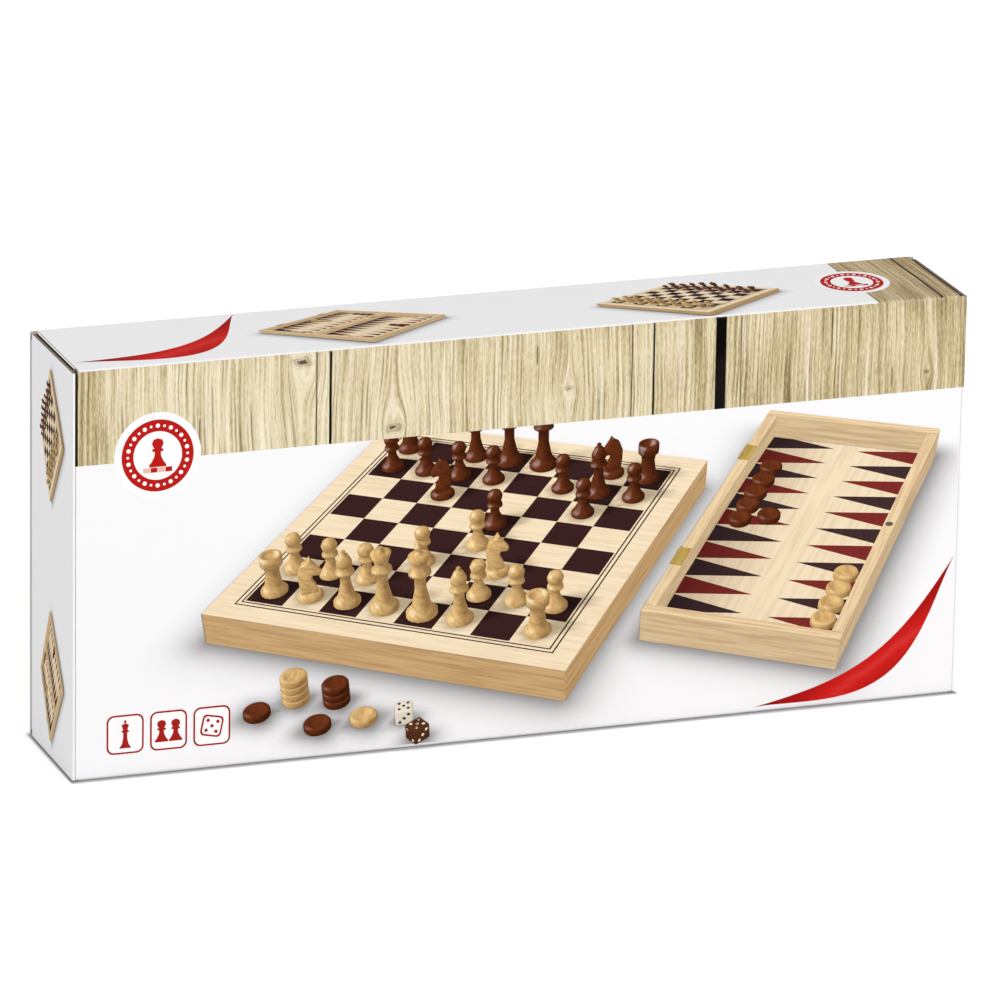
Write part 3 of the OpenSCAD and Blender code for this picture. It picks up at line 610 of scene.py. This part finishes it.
def games_board(mesh, feet, fine=5):
    """A framed chequered board, its near left corner at 0, 0, its squares cut finely for the shadows."""
    margins = (0, 0.2, 0.55, 0.59, 0.67, 0.71, rim)
    inner = [rim + k / fine for k in range(1, 8 * fine)]
    cuts = [*margins, *inner, *[board_wide - m for m in reversed(margins)]]
    last = len(cuts) - 1
    old = set(mesh.faces)
    for v in bmesh.ops.create_grid(mesh, x_segments=last, y_segments=last, size=0.5)["verts"]:
        x, y = [cuts[round((side + 0.5) * last)] for side in v.co[:2]]
        v.co = Vector((x, y, board_thick))
    shade = cast(feet)
    for face in new_faces(mesh, old):
        face.normal_update()
        x, y = face.calc_center_median()[:2]
        inset = min(x, y, board_wide - x, board_wide - y)
        colour, veined = pale_wood, 0.22
        if 0.55 < inset < 0.59 or 0.67 < inset < 0.71:
            colour, veined = line_ink, 0.0
        elif inset > rim and (int(x - rim) + int(y - rim)) % 2 == 0:
            colour, veined = dark_square, 0.15
        coat(mesh, [face], colour, shade, lambda p: (p.x * 0.45, p.y * 7), veined)
    top = board_thick - 0.01
    slab(mesh, (0, -0.004, 0), (board_wide, 0.001, top), edge_wood)
    for x in (0, board_wide + 0.003):
        slab(mesh, (x - 0.004, 0, 0), (x + 0.001, board_wide, top), edge_wood, 1)


LETTERS = {"p": "pawn", "r": "rook", "h": "horse", "b": "bishop", "q": "queen", "k": "king", "c": "counter"}


def set_men(mesh, layout, sides=18):
    """Stands men on the board's squares and gives back where they shade it.

    The layout is drawn from the far row to the near one, with the dark men in capitals."""
    feet = []
    for row, squares in enumerate(reversed(layout.split())):
        for column, letter in enumerate(squares):
            if letter == ".":
                continue
            x, y, z = rim + 0.5 + column, rim + 0.5 + row, board_thick + 0.01
            kind, dark = LETTERS[letter.lower()], letter.isupper()
            colour = dark_man if dark else light_man
            if kind == "horse":
                carve_horse(mesh, x, y, z, colour, -1 if dark else 1)
                feet.append((x, y, 0.33, horse_tall))
            else:
                turn_man(mesh, kind, x, y, z, colour, sides)
                feet.append((x, y, 0.33, MEN[kind][-1][1]))
    return feet


def games_tray(mesh, left, near, wide, long):
    """Half of the opened case, its floor printed with two rows of points."""
    x, y = left + tray_wall / 2, near + tray_wall / 2     # the floor ends under the walls
    floor_w, floor_l = wide - tray_wall, long - tray_wall
    middle, half_step = x + floor_w / 2, floor_l / 24
    shares = (0, 0.43, 0.57, 1)
    old = set(mesh.faces)
    for v in bmesh.ops.create_grid(mesh, x_segments=3, y_segments=24, size=0.5)["verts"]:
        share = shares[round((v.co.x + 0.5) * 3)]
        v.co = Vector((x + floor_w * share, y + floor_l * (v.co.y + 0.5), tray_floor))
    for face in new_faces(mesh, old):
        spot = face.calc_center_median()
        if abs(spot.x - middle) < floor_w * 0.1:
            continue
        on_right = spot.x > middle
        foot_x, tip_x = [x + floor_w * share for share in ((1, 0.57) if on_right else (0, 0.43))]
        step = int((spot.y - y) / half_step)
        foot_y, tip_y = [y + half_step * (step + (step + end) % 2) for end in (0, 1)]
        nearest = lambda a, b: min(face.verts, key=lambda v: abs(v.co.x - a) + abs(v.co.y - b))
        bmesh.utils.face_split(face, nearest(foot_x, foot_y), nearest(tip_x, tip_y))
    by_x, by_y = x + tray_wall / 2, y + tray_wall / 2
    walled = lambda v: 0.97 - 0.3 * exp(-2.2 * (v.co.x - by_x)) - 0.12 * exp(-2.5 * (v.co.y - by_y))
    for face in new_faces(mesh, old):
        face.normal_update()
        spot = face.calc_center_median()
        point = int((spot.y - y) / half_step / 2)
        off = abs(spot.y - y - (2 * point + 1) * half_step)
        colour, veined = pale_wood, 0.22
        if len(face.verts) == 3 and off < half_step / 2:
            colour, veined = dark_point if (point + (spot.x > middle)) % 2 else red_point, 0.15
        coat(mesh, [face], colour, walled, lambda p: (p.y * 0.45, p.x * 7), veined)
    right, far = left + wide, near + long
    for low, high, run in (
            ((left, near), (right, near + tray_wall), 0), ((left, far - tray_wall), (right, far), 0),
            ((left, near + tray_wall), (left + tray_wall, far - tray_wall), 1),
            ((right - tray_wall, near + tray_wall), (right, far - tray_wall), 1)):
        slab(mesh, (*low, 0), (*high, board_thick), lime_wood, run)
    for share in (0.24, 0.76):     # a brass leaf and its knuckles near each end of the fold
        leaf_y = near + long * share
        slab(mesh, (left + 0.02, leaf_y - 0.38, board_thick),
             (left + tray_wall, leaf_y + 0.38, board_thick + 0.012), brass_ink, 1)
        for k in range(5):
            knuckle_y = leaf_y - 0.37 + k * 0.15
            slab(mesh, (left - 0.02, knuckle_y, board_thick),
                 (left + 0.05, knuckle_y + 0.13, board_thick + 0.05), brass_ink, 1)
    old = set(mesh.faces)
    magnet_spot = Matrix.Translation((right - tray_wall / 2, near + long / 2, board_thick + 0.006))
    bmesh.ops.create_circle(mesh, cap_ends=True, segments=20, radius=0.1, matrix=magnet_spot)
    coat(mesh, new_faces(mesh, old), steel_ink)


PIPS = {               # the pips on a die's face, in a half of their spacing
    1: ((0, 0),), 2: ((-1, -1), (1, 1)), 3: ((-1, -1), (0, 0), (1, 1)),
    4: ((-1, -1), (1, -1), (-1, 1), (1, 1)), 5: ((-1, -1), (1, -1), (0, 0), (-1, 1), (1, 1)),
    6: ((-1, -1), (1, -1), (-1, 0), (1, 0), (-1, 1), (1, 1))}


def one_die(mesh, x, y, size, turn, colour, pip):
    """A small cube with softened corners and round pips on the three faces that show."""
    old = set(mesh.faces)
    bmesh.ops.create_cube(mesh, size=size)
    soften(mesh, new_faces(mesh, old), size * 0.12, 3)
    cube = new_faces(mesh, old)
    verts = corners(cube)
    for v in verts:
        v.normal_update()
    coat(mesh, cube, colour, lambda v: 0.62 + 0.38 * max(0.0, v.normal.dot(sun)))
    for way, pips in (((0, 0, 1), PIPS[5]), ((0, -1, 0), PIPS[3]), ((-1, 0, 0), ((-1, 1), (1, -1)))):
        faced = Vector(way).to_track_quat("Z", "Y").to_matrix().to_4x4()
        for a, b in pips:
            old = set(mesh.faces)
            spot = faced @ Matrix.Translation((a * size * 0.25, b * size * 0.25, size * 0.503))
            dot = bmesh.ops.create_circle(mesh, cap_ends=True, segments=12, radius=size * 0.095, matrix=spot)
            coat(mesh, new_faces(mesh, old), pip)
            verts += dot["verts"]
    bmesh.ops.rotate(mesh, cent=(0, 0, 0), matrix=Matrix.Rotation(turn, 3, "Z"), verts=verts)
    bmesh.ops.translate(mesh, vec=(x, y, size / 2), verts=verts)


def ground_shadow(mesh, boxes, low, high, dark=0.55, steps=56):
    """The soft shadow that things on the stage throw on white paper: darkest at their foot."""
    for v in bmesh.ops.create_grid(mesh, x_segments=steps, y_segments=steps, size=0.5)["verts"]:
        v.co = Vector([a + (b - a) * (c + 0.5) for a, b, c in zip((*low, 0), (*high, 0), v.co)])

    def shade(vert):
        x, y = vert.co[:2]
        deep = 0.0
        for left, near, right, far, soft in boxes:
            off = hypot(max(left - x, 0, x - right), max(near - y, 0, y - far))
            deep = max(deep, exp(-((off / soft) ** 1.3)))
        edge = min(x - low[0], high[0] - x, y - low[1], high[1] - y)
        return dark * deep * min(1.0, edge / 0.4)
    coat(mesh, mesh.faces[:], (1, 1, 1), shade)


def face_of(origin, across, up):
    """A face of the carton: gives any spot on it, with the face's own ways across and up."""
    origin, across, up = Vector(origin), Vector(across), Vector(up)
    return lambda a, b: (origin + across * a + up * b, across, up)


def trims(face, left, right, low, high):
    """The cuts that keep a print inside a window of its face: a point of each and the way that goes."""
    spot, across, up = face(0, 0)
    return [(spot + up * high, up), (spot + across * left, -across),
            (spot + across * right, across), (spot + up * low, -up)]


def press_flat(mesh, name, body, view, spot, cuts=(), finish=print_ink, lift=ink_lift, deep=ink_deep):
    """Pictures the stage from its own camera and presses it on a panel as printed skin.

    The view is a turn, a tilt, a scale, how far off the camera is, and what falls at the spot."""
    turn, tilt, size, away, home = view
    spot, across, up = spot
    out = across.cross(up)
    spun = Matrix.Rotation(turn, 3, "Z")
    back, high = cos(tilt), sin(tilt)
    for v in mesh.verts:
        p = spun @ (v.co - Vector(home))
        into = p.y * back - p.z * high
        scale = size * away / (away + into)
        v.co = Vector((p.x * scale, into, (p.y * high + p.z * back) * scale))
    mesh.normal_update()
    hidden = [face for face in mesh.faces if face.normal.y >= -1e-5]
    bmesh.ops.delete(mesh, geom=hidden, context="FACES")
    depths = [v.co.y for v in mesh.verts]
    near, span = min(depths), max(depths) - min(depths) or 1
    for v in mesh.verts:
        proud = lift + deep * (1 - (v.co.y - near) / span)
        v.co = spot + across * v.co.x + up * v.co.z + out * proud
    for point, way in cuts:
        bmesh.ops.bisect_plane(mesh, geom=mesh.verts[:] + mesh.edges[:] + mesh.faces[:], dist=1e-7,
                               plane_co=point, plane_no=way, clear_outer=True)
    made = place(mesh, name)
    paint(made, finish)
    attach(made, body)


# the board and the tray stand side by side on one stage
opening = """
    R.BQK.HR
    PPPP.PBP
    ..H...P.
    ....P...
    ....p...
    ...p.h..
    ppp..ppp
    rhbqkb.r"""
tray_left, tray_near, tray_w, tray_l = 10.3, 2.6, 4.9, 9.9
scene_board = stage()
games_board(scene_board, set_men(scene_board, opening))
games_tray(scene_board, tray_left, tray_near, tray_w, tray_l)
counters = [(0.75, 5.2 + counter_pitch * k, dark_man) for k in range(5)]
counters += [(tray_w - 0.75, 1.4 + counter_pitch * k, light_man) for k in range(4)]
for x, y, colour in (*counters, (1.45, 5.5, dark_man)):
    turn_man(scene_board, "counter", tray_left + x, tray_near + y, tray_floor, colour, 24)
on_front = face_of((-half_l, -half_w, 0), (1, 0, 0), (0, 0, 1))
under_band = trims(on_front, 0.002, carton_l - 0.002, 0.002, carton_h - band_h)
view_of_board = (radians(-23), radians(38), 0.0224, 36, (board_wide, 0, 0))
picture = ("carton", view_of_board, on_front(0.247, 0.016))
press_flat(scene_board, "front_board_picture", *picture, under_band, lift=2 * ink_lift)

scene_loose = stage()
shaded = [(0.15, 0.1, 9.3, 9.3, 0.55),
          (tray_left + 0.1, tray_near + 0.1, tray_left + tray_w - 0.1, tray_near + tray_l, 0.5)]
for x, y, tall, colour in ((3.4, -1.5, 4, light_man), (4.35, -1.3, 3, dark_man), (5.3, -1.75, 1, light_man),
                           (2.8, -2.2, 1, dark_man), (4.4, -2.25, 1, dark_man)):
    for k in range(tall):
        turn_man(scene_loose, "counter", x, y, 0.19 * k, colour, 24)
    shaded.append((x - 0.2, y - 0.2, x + 0.25, y + 0.2, 0.3))
for x, y, turn, colour, pip in ((6.2, -1.5, 0.5, tone(240, 232, 214), line_ink),
                                (6.8, -2.0, 1.1, tone(92, 52, 34), tone(240, 226, 200))):
    one_die(scene_loose, x, y, 0.4, turn, colour, pip)
    shaded.append((x - 0.1, y - 0.1, x + 0.15, y + 0.1, 0.25))
press_flat(scene_loose, "front_counters_picture", *picture, lift=2 * ink_lift)

scene_shadow = stage()
ground_shadow(scene_shadow, shaded, (-1.5, -3.3), (16.4, 13.5), steps=90)
press_flat(scene_shadow, "front_picture_shadow", *picture, under_band, shadow_ink, ink_lift / 2, ink_lift)

# ---------------------------------------------------------------------------
# The small printed marks: a round red seal, three plain picture signs for a
# game of skill, of two and of chance, and a red sweep across one corner. They
# are flat inks laid one over the other, and none of them is anyone's mark.
# ---------------------------------------------------------------------------
flat_view = (0.0, 0.0, 0.001, 1e6, (0, 0, 0))      # square on, from millimetres
paper, sign_red = tone(250, 249, 249), tone(164, 34, 30)
seal_red, seal_pink = tone(186, 30, 26), tone(232, 190, 170)


def disc(mesh, x, z, radius, layer, colour, sides=72):
    """A flat round of one ink, in millimetres on the panel."""
    old = set(mesh.faces)
    spot = Matrix.Translation((x, -layer, z)) @ Matrix.Rotation(pi / 2, 4, "X")
    bmesh.ops.create_circle(mesh, cap_ends=True, segments=sides, radius=radius, matrix=spot)
    coat(mesh, new_faces(mesh, old), colour)


def plate(mesh, x, wide, high, corner, layer, colour, z=0.0, turn=0.0):
    """A flat rectangle of one ink with rounded corners."""
    old = set(mesh.faces)
    spot = Matrix.Translation((x, -layer, z)) @ Matrix.Rotation(turn, 4, "Y")
    sizing = Matrix.Rotation(pi / 2, 4, "X") @ Matrix.Diagonal((wide, high, 1, 1))
    made = bmesh.ops.create_grid(mesh, x_segments=1, y_segments=1, size=0.5, matrix=spot @ sizing)
    if corner:
        bmesh.ops.bevel(mesh, geom=made["verts"], offset=corner, offset_type="OFFSET",
                        affect="VERTICES", segments=8, profile=0.5, material=-1)
    coat(mesh, new_faces(mesh, old), colour)


def silhouette(mesh, kind, x, z, size, layer, colour):
    """A man cut out in one flat ink."""
    old, seen = set(mesh.faces), set(mesh.verts)
    turn_man(mesh, kind, 0, 0, 0, colour, 12)
    for v in mesh.verts:
        if v not in seen:
            v.co = Vector((x + v.co.x * size, -layer + 0.01 * v.co.y, z + v.co.z * size))
    coat(mesh, new_faces(mesh, old), colour)


def seal(name, body, spot, radius):
    """The round seal: a red ring with a beaded band, and a pawn on four squares."""
    mesh = stage()
    beads, band = 28, radius * 0.69
    disc(mesh, 0, 0, radius, 1, paper)
    disc(mesh, 0, 0, radius * 0.83, 2, seal_red)
    for k in range(beads):
        turn = 2 * pi * k / beads
        disc(mesh, band * cos(turn), band * sin(turn), radius * (0.05 if k % 2 else 0.032), 3, paper, 16)
    disc(mesh, 0, 0, radius * 0.56, 3, paper)
    for k in range(4):
        plate(mesh, (k - 1.5) * radius * 0.17, radius * 0.155, radius * 0.11, 0, 4,
              seal_red if k % 2 else seal_pink, -radius * 0.33)
    silhouette(mesh, "pawn", 0, -radius * 0.26, radius * 0.66, 5, seal_red)
    press_flat(mesh, name, body, flat_view, spot)


def signs(name, body, spot):
    """Three plain signs in red outlines: a king, two pawns side by side, and a die."""
    mesh = stage()
    step, die_turn, pip_step = 21.5, 0.2, 2.5
    for k in range(3):
        plate(mesh, k * step, 18.4, 19.6, 3.6, 1, sign_red)
        plate(mesh, k * step, 16.6, 17.8, 2.8, 2, paper)
    silhouette(mesh, "king", 0, -6.9, 7.2, 3, sign_red)
    for way in (-1, 1):
        silhouette(mesh, "pawn", step + way * 3.5, -5.6, 11, 3, sign_red)
    plate(mesh, 2 * step, 10.6, 10.6, 2.2, 3, sign_red, turn=die_turn)
    plate(mesh, 2 * step, 8.8, 8.8, 1.6, 4, paper, turn=die_turn)
    for a, b in PIPS[5]:
        x, z = Matrix.Rotation(-die_turn, 2) @ Vector((a, b)) * pip_step
        disc(mesh, 2 * step + x, z, 0.85, 5, sign_red, 24)
    press_flat(mesh, name, body, flat_view, spot)


def red_sweep(name, body, start, end, belly, spot):
    """A long red sweep, drawn out fine at both tips, darker where it turns."""
    mesh = stage()
    start, end = Vector(start), Vector(end)
    way = end - start
    side = Vector((way.y, -way.x)).normalized()
    for v in bmesh.ops.create_grid(mesh, x_segments=48, y_segments=5, size=0.5)["verts"]:
        t, w = v.co.x + 0.5, v.co.y + 0.5
        bow = sin(pi * t)
        p = start + way * t + side * belly * (0.7 * bow + 0.58 * w * bow ** 1.35)
        v.co = Vector((p.x, -1, p.y))
    bmesh.ops.remove_doubles(mesh, verts=mesh.verts, dist=1e-4)
    bmesh.ops.recalc_face_normals(mesh, faces=mesh.faces)
    mesh.normal_update()
    if sum(face.normal.y for face in mesh.faces) > 0:
        bmesh.ops.reverse_faces(mesh, faces=mesh.faces)

    def shade(vert):
        p = Vector((vert.co.x, vert.co.z)) - start
        t, w = p.dot(way) / way.length_squared, p.dot(side) / belly
        return 0.66 + 0.36 * exp(-((w - 0.9) / 0.35) ** 2) - 0.35 * max(0.0, abs(t - 0.5) - 0.2)
    coat(mesh, mesh.faces[:], tone(206, 34, 30), shade)
    press_flat(mesh, name, body, flat_view, spot, deep=ink_lift)


seal("front_seal", "carton", on_front(0.0415, 0.1585), 21.3)
signs("front_signs", "carton", on_front(0.026, 0.0215))
red_sweep("front_sweep", "carton", (345, 3), (447.5, 71), 23, on_front(0, 0))

# ---------------------------------------------------------------------------
# The small pictures on the other faces: a board set for chess, a board set for
# draughts and the two open halves with their points, all printed in the same
# inks. The ends carry them sideways, as such a carton is stacked on its end.
# ---------------------------------------------------------------------------
layouts = {
    "chess": "RHBQKBHR PPPPPPPP ........ ........ ........ ........ pppppppp rhbqkbhr",
    "draughts": ".C.C.C.C C.C.C.C. .C.C.C.C ........ ........ c.c.c.c. .c.c.c.c c.c.c.c."}
point_stacks = (       # where each row of counters starts, how many it has, its way and its colour
    (0.65, 0.7, 5, 1, dark_man), (8.85, 0.7, 5, -1, light_man), (0.65, 5.4, 3, 1, light_man),
    (8.85, 5.4, 3, -1, dark_man), (4.05, 8.8, 4, -1, dark_man), (5.45, 8.8, 4, 1, light_man))


def small_picture(name, game, body, spot, size, tilt=33, turn=-45, cuts=()):
    """One game laid out on the stage, seen over its corner and pressed on a face of the carton."""
    mesh = stage()
    if game == "points":
        for left in (0, 4.8):
            games_tray(mesh, left, 0, 4.7, board_wide)
        for x, y, count, way, colour in point_stacks:
            for k in range(count):
                turn_man(mesh, "counter", x + way * 0.63 * k, y, tray_floor, colour, 14)
    else:
        games_board(mesh, set_men(mesh, layouts[game], 10), 3)
    view = (radians(turn), radians(tilt), size, 40, (board_wide / 2, board_wide / 2, 0.4))
    press_flat(mesh, name, body, view, spot, cuts, lift=2 * ink_lift)
    shade = stage()
    ground_shadow(shade, [(0.15, 0.1, 9.3, 9.3, 0.5)], (-1.3, -1.3), (10.8, 10.8), 0.45, 36)
    press_flat(shade, name + "_shadow", body, view, spot, cuts, shadow_ink, ink_lift / 2, ink_lift)


on_top = face_of((-half_l, -half_w, carton_h), (1, 0, 0), (0, 1, 0))
inside_top = trims(on_top, 0, carton_l, 0.0015, carton_d - 0.0015)
small_picture("top_points_picture", "points", "carton", on_top(0.15, 0.0365), 0.0069, cuts=inside_top)
small_picture("top_chess_picture", "chess", "carton", on_top(0.319, 0.033), 0.0069, cuts=inside_top)
seal("top_seal", "carton", on_top(0.404, 0.0355), 18.5)
red_sweep("top_sweep", "carton", (5, 14), (100, 68), 25, on_top(0, 0))

for side, way in (("left", -1), ("right", 1)):
    on_end = face_of((way * half_l, 0, 0), (0, 0, 1), (0, -way, 0))
    for game, up in (("chess", 0.161), ("points", 0.041)):
        small_picture(f"{side}_{game}_picture", game, side + "_closure_body", on_end(up, 0), 0.0048)

on_back = face_of((half_l, half_w, 0), (-1, 0, 0), (0, 0, 1))
for game, along in (("chess", 0.098), ("draughts", 0.225), ("points", 0.352)):
    small_picture(f"back_{game}_picture", game, "carton", on_back(along, 0.093), 0.0083, 36, -30)
signs("back_signs", "carton", on_back(0.2035, 0.022))

# ---------------------------------------------------------------------------
# The folding case inside: two shallow halves of pale wood, each a plywood
# playing panel glued over four mitred rails. Outside they are screen-printed
# with half of the squares each, and inside with the points.
# ---------------------------------------------------------------------------
case_l, case_foot, case_w = 0.4, 0.0035, 0.197
square, inset_x = 0.044, 0.024
print_deep = 0.0004                # how far below its outer face a panel still shows the squares
points_half, point_gap, point_tall = 0.188, 0.012, 0.078
square_ink = tone(52, 32, 30)
print_dark, print_red = tone(62, 44, 44), tone(128, 44, 38)

worked, told, out = shared(
    "worked_wood", {"Along": (1.0, 0.0, 0.0), "Pale": white, "Deep": white, "Fineness": 900.0},
    {"Color": "Color", "Roughness": "Float", "Height": "Float"})


def reckon(what, one, other):
    """One step of a sum of places; SCALE takes a number as its other."""
    sockets = {0: one, 3 if what == "SCALE" else 1: other}
    return put(worked, "VectorMath", sockets, operation=what).outputs[0]


spot = put(worked, "TexCoord").outputs["Object"]
run_of = toward(worked, spot, told["Along"]) * 0.955
squeezed = reckon("SUBTRACT", spot, reckon("SCALE", told["Along"], run_of))     # the grain is long
sway = put(worked, "TexNoise", {"Vector": spot, "Scale": 9, "Detail": 1}).outputs["Color"]
squeezed = reckon("ADD", squeezed, reckon("SCALE", sway, 0.004))
pores = mottle(worked, squeezed, told["Fineness"], 3, 0.65)
bands = mottle(worked, squeezed, told["Fineness"] * 0.13)
amount = (pores * 0.5 + bands * 0.5).fade(0.36, 0.66)
feed(worked, out, {
    "Color": blended(amount, told["Deep"], told["Pale"]),
    "Roughness": pores * 0.16 + 0.38, "Height": pores})


def wood_finish(name, along, pale, deep, fineness=900.0, lacquer=0.12, print_on=None):
    """Planed or turned wood under a thin lacquer; print_on adds an ink over its grain."""
    made, tree, skin = new_finish(
        name, Coat_Weight=lacquer, Coat_Roughness=0.25, Specular_IOR_Level=0.35)
    look = using(tree, worked, {"Along": along, "Pale": pale, "Deep": deep, "Fineness": fineness})
    colour = print_on(tree, look["Color"]) if print_on else look["Color"]
    bump = put(tree, "Bump", {"Strength": 0.25, "Distance": 0.0002, "Height": look["Height"]})
    feed(tree, skin, {
        "Base Color": colour, "Roughness": look["Roughness"], "Normal": bump.outputs[0]})
    return made


def panel_print(outer_y, odd):
    """The squares outside and the points inside a playing panel."""
    def inked(tree, wood):
        x, y, z = axes(tree, put(tree, "TexCoord").outputs["Object"])
        rise = z - case_foot
        outside = abs(y - outer_y) < print_deep
        column, row = (x + (case_l / 2 - inset_x)) / square, rise / square
        parity = (column.by("FLOOR") + row.by("FLOOR") + (20 + odd)).by("MODULO", 2)
        squares = parity * (abs(column - 4) < 4) * (row < 4)
        edge = (abs(x) - 4 * square).by("MAXIMUM", rise - 4 * square)
        border = line(edge, 0.0022, 0.0004, 0.0001).by("MAXIMUM", line(edge, 0.005, 0.0008, 0.0001))
        mark = squares.by("MAXIMUM", border) * outside
        wood = blended(mark * 0.93, wood, square_ink)
        pitch = (x + points_half) / (2 * points_half / 12)
        slope = abs(pitch.by("FRACT") - 0.5)
        tip = (abs(rise - case_w / 2) - point_gap) / (2 * point_tall)
        point = (slope < tip) * (abs(x) < points_half)
        swap = (pitch.by("FLOOR") + (rise > case_w / 2)).by("MODULO", 2)
        ink = blended(swap, print_dark, print_red)
        return blended(point * (1 - outside) * 0.92, wood, ink)
    return inked


case_pale, case_deep = tone(240, 220, 184), tone(218, 190, 146)
rail_pale, rail_deep = tone(226, 200, 156), tone(196, 164, 114)
long_rail = wood_finish("long_rail_wood", (1, 0, 0), rail_pale, rail_deep, 700.0)
short_rail = wood_finish("short_rail_wood", (0, 0, 1), rail_pale, rail_deep, 700.0)
for half, corner, odd in (("base", 0, 0), ("lid", 1, 1)):
    printed = panel_print(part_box(half + "_panel")[corner][1], odd)
    panel_wood = wood_finish(half + "_panel_wood", (1, 0, 0), case_pale, case_deep, print_on=printed)
    paint(parts[half + "_panel"], panel_wood)
    for rail in ("hinge", "catch"):
        paint(parts[f"{half}_{rail}_rail"], long_rail)
    for rail in ("left", "right"):
        paint(parts[f"{half}_{rail}_rail"], short_rail)

# ---------------------------------------------------------------------------
# The case's ironwork: two brass hinges let into the rails and screwed down, a
# steel pin in each, and a magnet facing a steel disc that keep the case shut.
# ---------------------------------------------------------------------------
brushing = 1400


def metal_finish(name, bright, dull, smooth):
    """Small stamped or turned metal: fine brushing, fingered duller in patches."""
    made, tree, skin = new_finish(name, Metallic=1.0, Specular_IOR_Level=0.5)
    spot = put(tree, "TexCoord").outputs["Object"]
    drawn_out = put(tree, "Mapping", {"Vector": spot, "Scale": (0.08, 1, 1)}).outputs[0]
    brushed, patch = mottle(tree, drawn_out, brushing), mottle(tree, spot, 120)
    bump = put(tree, "Bump", {"Strength": 0.15, "Distance": 0.0001, "Height": brushed})
    feed(tree, skin, {
        "Base Color": blended(patch, bright, dull),
        "Roughness": patch * 0.2 + brushed * 0.1 + (smooth - 0.15), "Normal": bump.outputs[0]})
    return made


leaf_brass = metal_finish("leaf_brass", tone(222, 188, 112), tone(188, 148, 78), 0.32)
for half in ("base", "lid"):
    paint(parts[half + "_hinge_leaves"], leaf_brass)
for node, finish, bright, dull, smooth in (
        ("hinge_pins", "pin_steel", tone(206, 206, 204), tone(168, 168, 166), 0.28),
        ("hinge_screws", "screw_brass", tone(214, 178, 100), tone(172, 134, 70), 0.3),
        ("magnet", "magnet_nickel", tone(190, 190, 192), tone(140, 140, 144), 0.24),
        ("strike_disc", "strike_steel", tone(176, 176, 176), tone(132, 130, 128), 0.4)):
    paint(parts[node], metal_finish(finish, bright, dull, smooth))

# ---------------------------------------------------------------------------
# The men, counters and dice: turned or cut from pale and from stained beech and
# waxed, with the grain along the carton. Here they lie in the case as packed.
# ---------------------------------------------------------------------------
turned = [(kind, 0.3) for kind in ("kings", "queens", "bishops", "knights", "rooks", "pawns")]
for colour, beech, cube in (
        ("light", (tone(232, 200, 146), tone(206, 166, 104)), (tone(240, 226, 196), tone(226, 206, 168))),
        ("dark", (tone(118, 66, 38), tone(70, 36, 22)), (tone(70, 36, 22), tone(52, 28, 20)))):
    for kind, shine in (*turned, ("draughts", 0.22), ("dice", 0.4)):
        pale, deep = cube if kind == "dice" else beech
        finish = wood_finish(f"{colour}_{kind}_wood", (1, 0, 0), pale, deep, 1100.0, shine)
        paint(parts[f"{colour}_{kind}"], finish)

# ---------------------------------------------------------------------------
# The pips: each is drilled into its die and filled with a drop of enamel, dark
# on the pale dice and ivory on the stained ones.
# ---------------------------------------------------------------------------
die, pip_r, pip_sunk, pip_thick = 0.012, 0.00078, 0.00026, 0.0002
FACE_TURNS = ((0, 0), (90, 0), (0, 90), (0, -90), (-90, 0), (180, 0))     # a roll and a pitch each
for colour, enamel in (("light", tone(40, 28, 24)), ("dark", tone(236, 224, 198))):
    low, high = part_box(colour + "_dice")
    left, near, right, far = low[0] + die / 2, low[1] + die / 2, high[0] - die / 2, high[1] - die / 2
    seats = [(left, near), (left, far)]
    if colour == "light":
        seats.append((right, near))
    pips = bmesh.new()
    for x, y in seats:
        middle = Matrix.Translation((x, y, (low[2] + high[2]) / 2))
        for spots, (roll, pitch) in zip(PIPS.values(), FACE_TURNS):
            facing = Matrix.Rotation(radians(pitch), 4, "Y") @ Matrix.Rotation(radians(roll), 4, "X")
            for a, b in spots:
                seat = Matrix.Translation((a * die / 4, b * die / 4, die / 2 - pip_sunk))
                bmesh.ops.create_cone(pips, cap_ends=True, cap_tris=False, segments=20,
                                      radius1=pip_r * 0.7, radius2=pip_r, depth=pip_thick,
                                      matrix=middle @ facing @ seat)
    pips = place(pips, colour + "_dice_pips")
    glaze, tree, skin = new_finish(colour + "_pip_enamel", Coat_Weight=0.5, Coat_Roughness=0.1)
    speck = mottle(tree, put(tree, "TexCoord").outputs["Object"], 2600, 1)
    feed(tree, skin, {
        "Base Color": blended(speck * 0.3, enamel, tone(120, 100, 84)), "Roughness": speck * 0.1 + 0.2})
    paint(pips, glaze)
    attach(pips, "wooden_case")
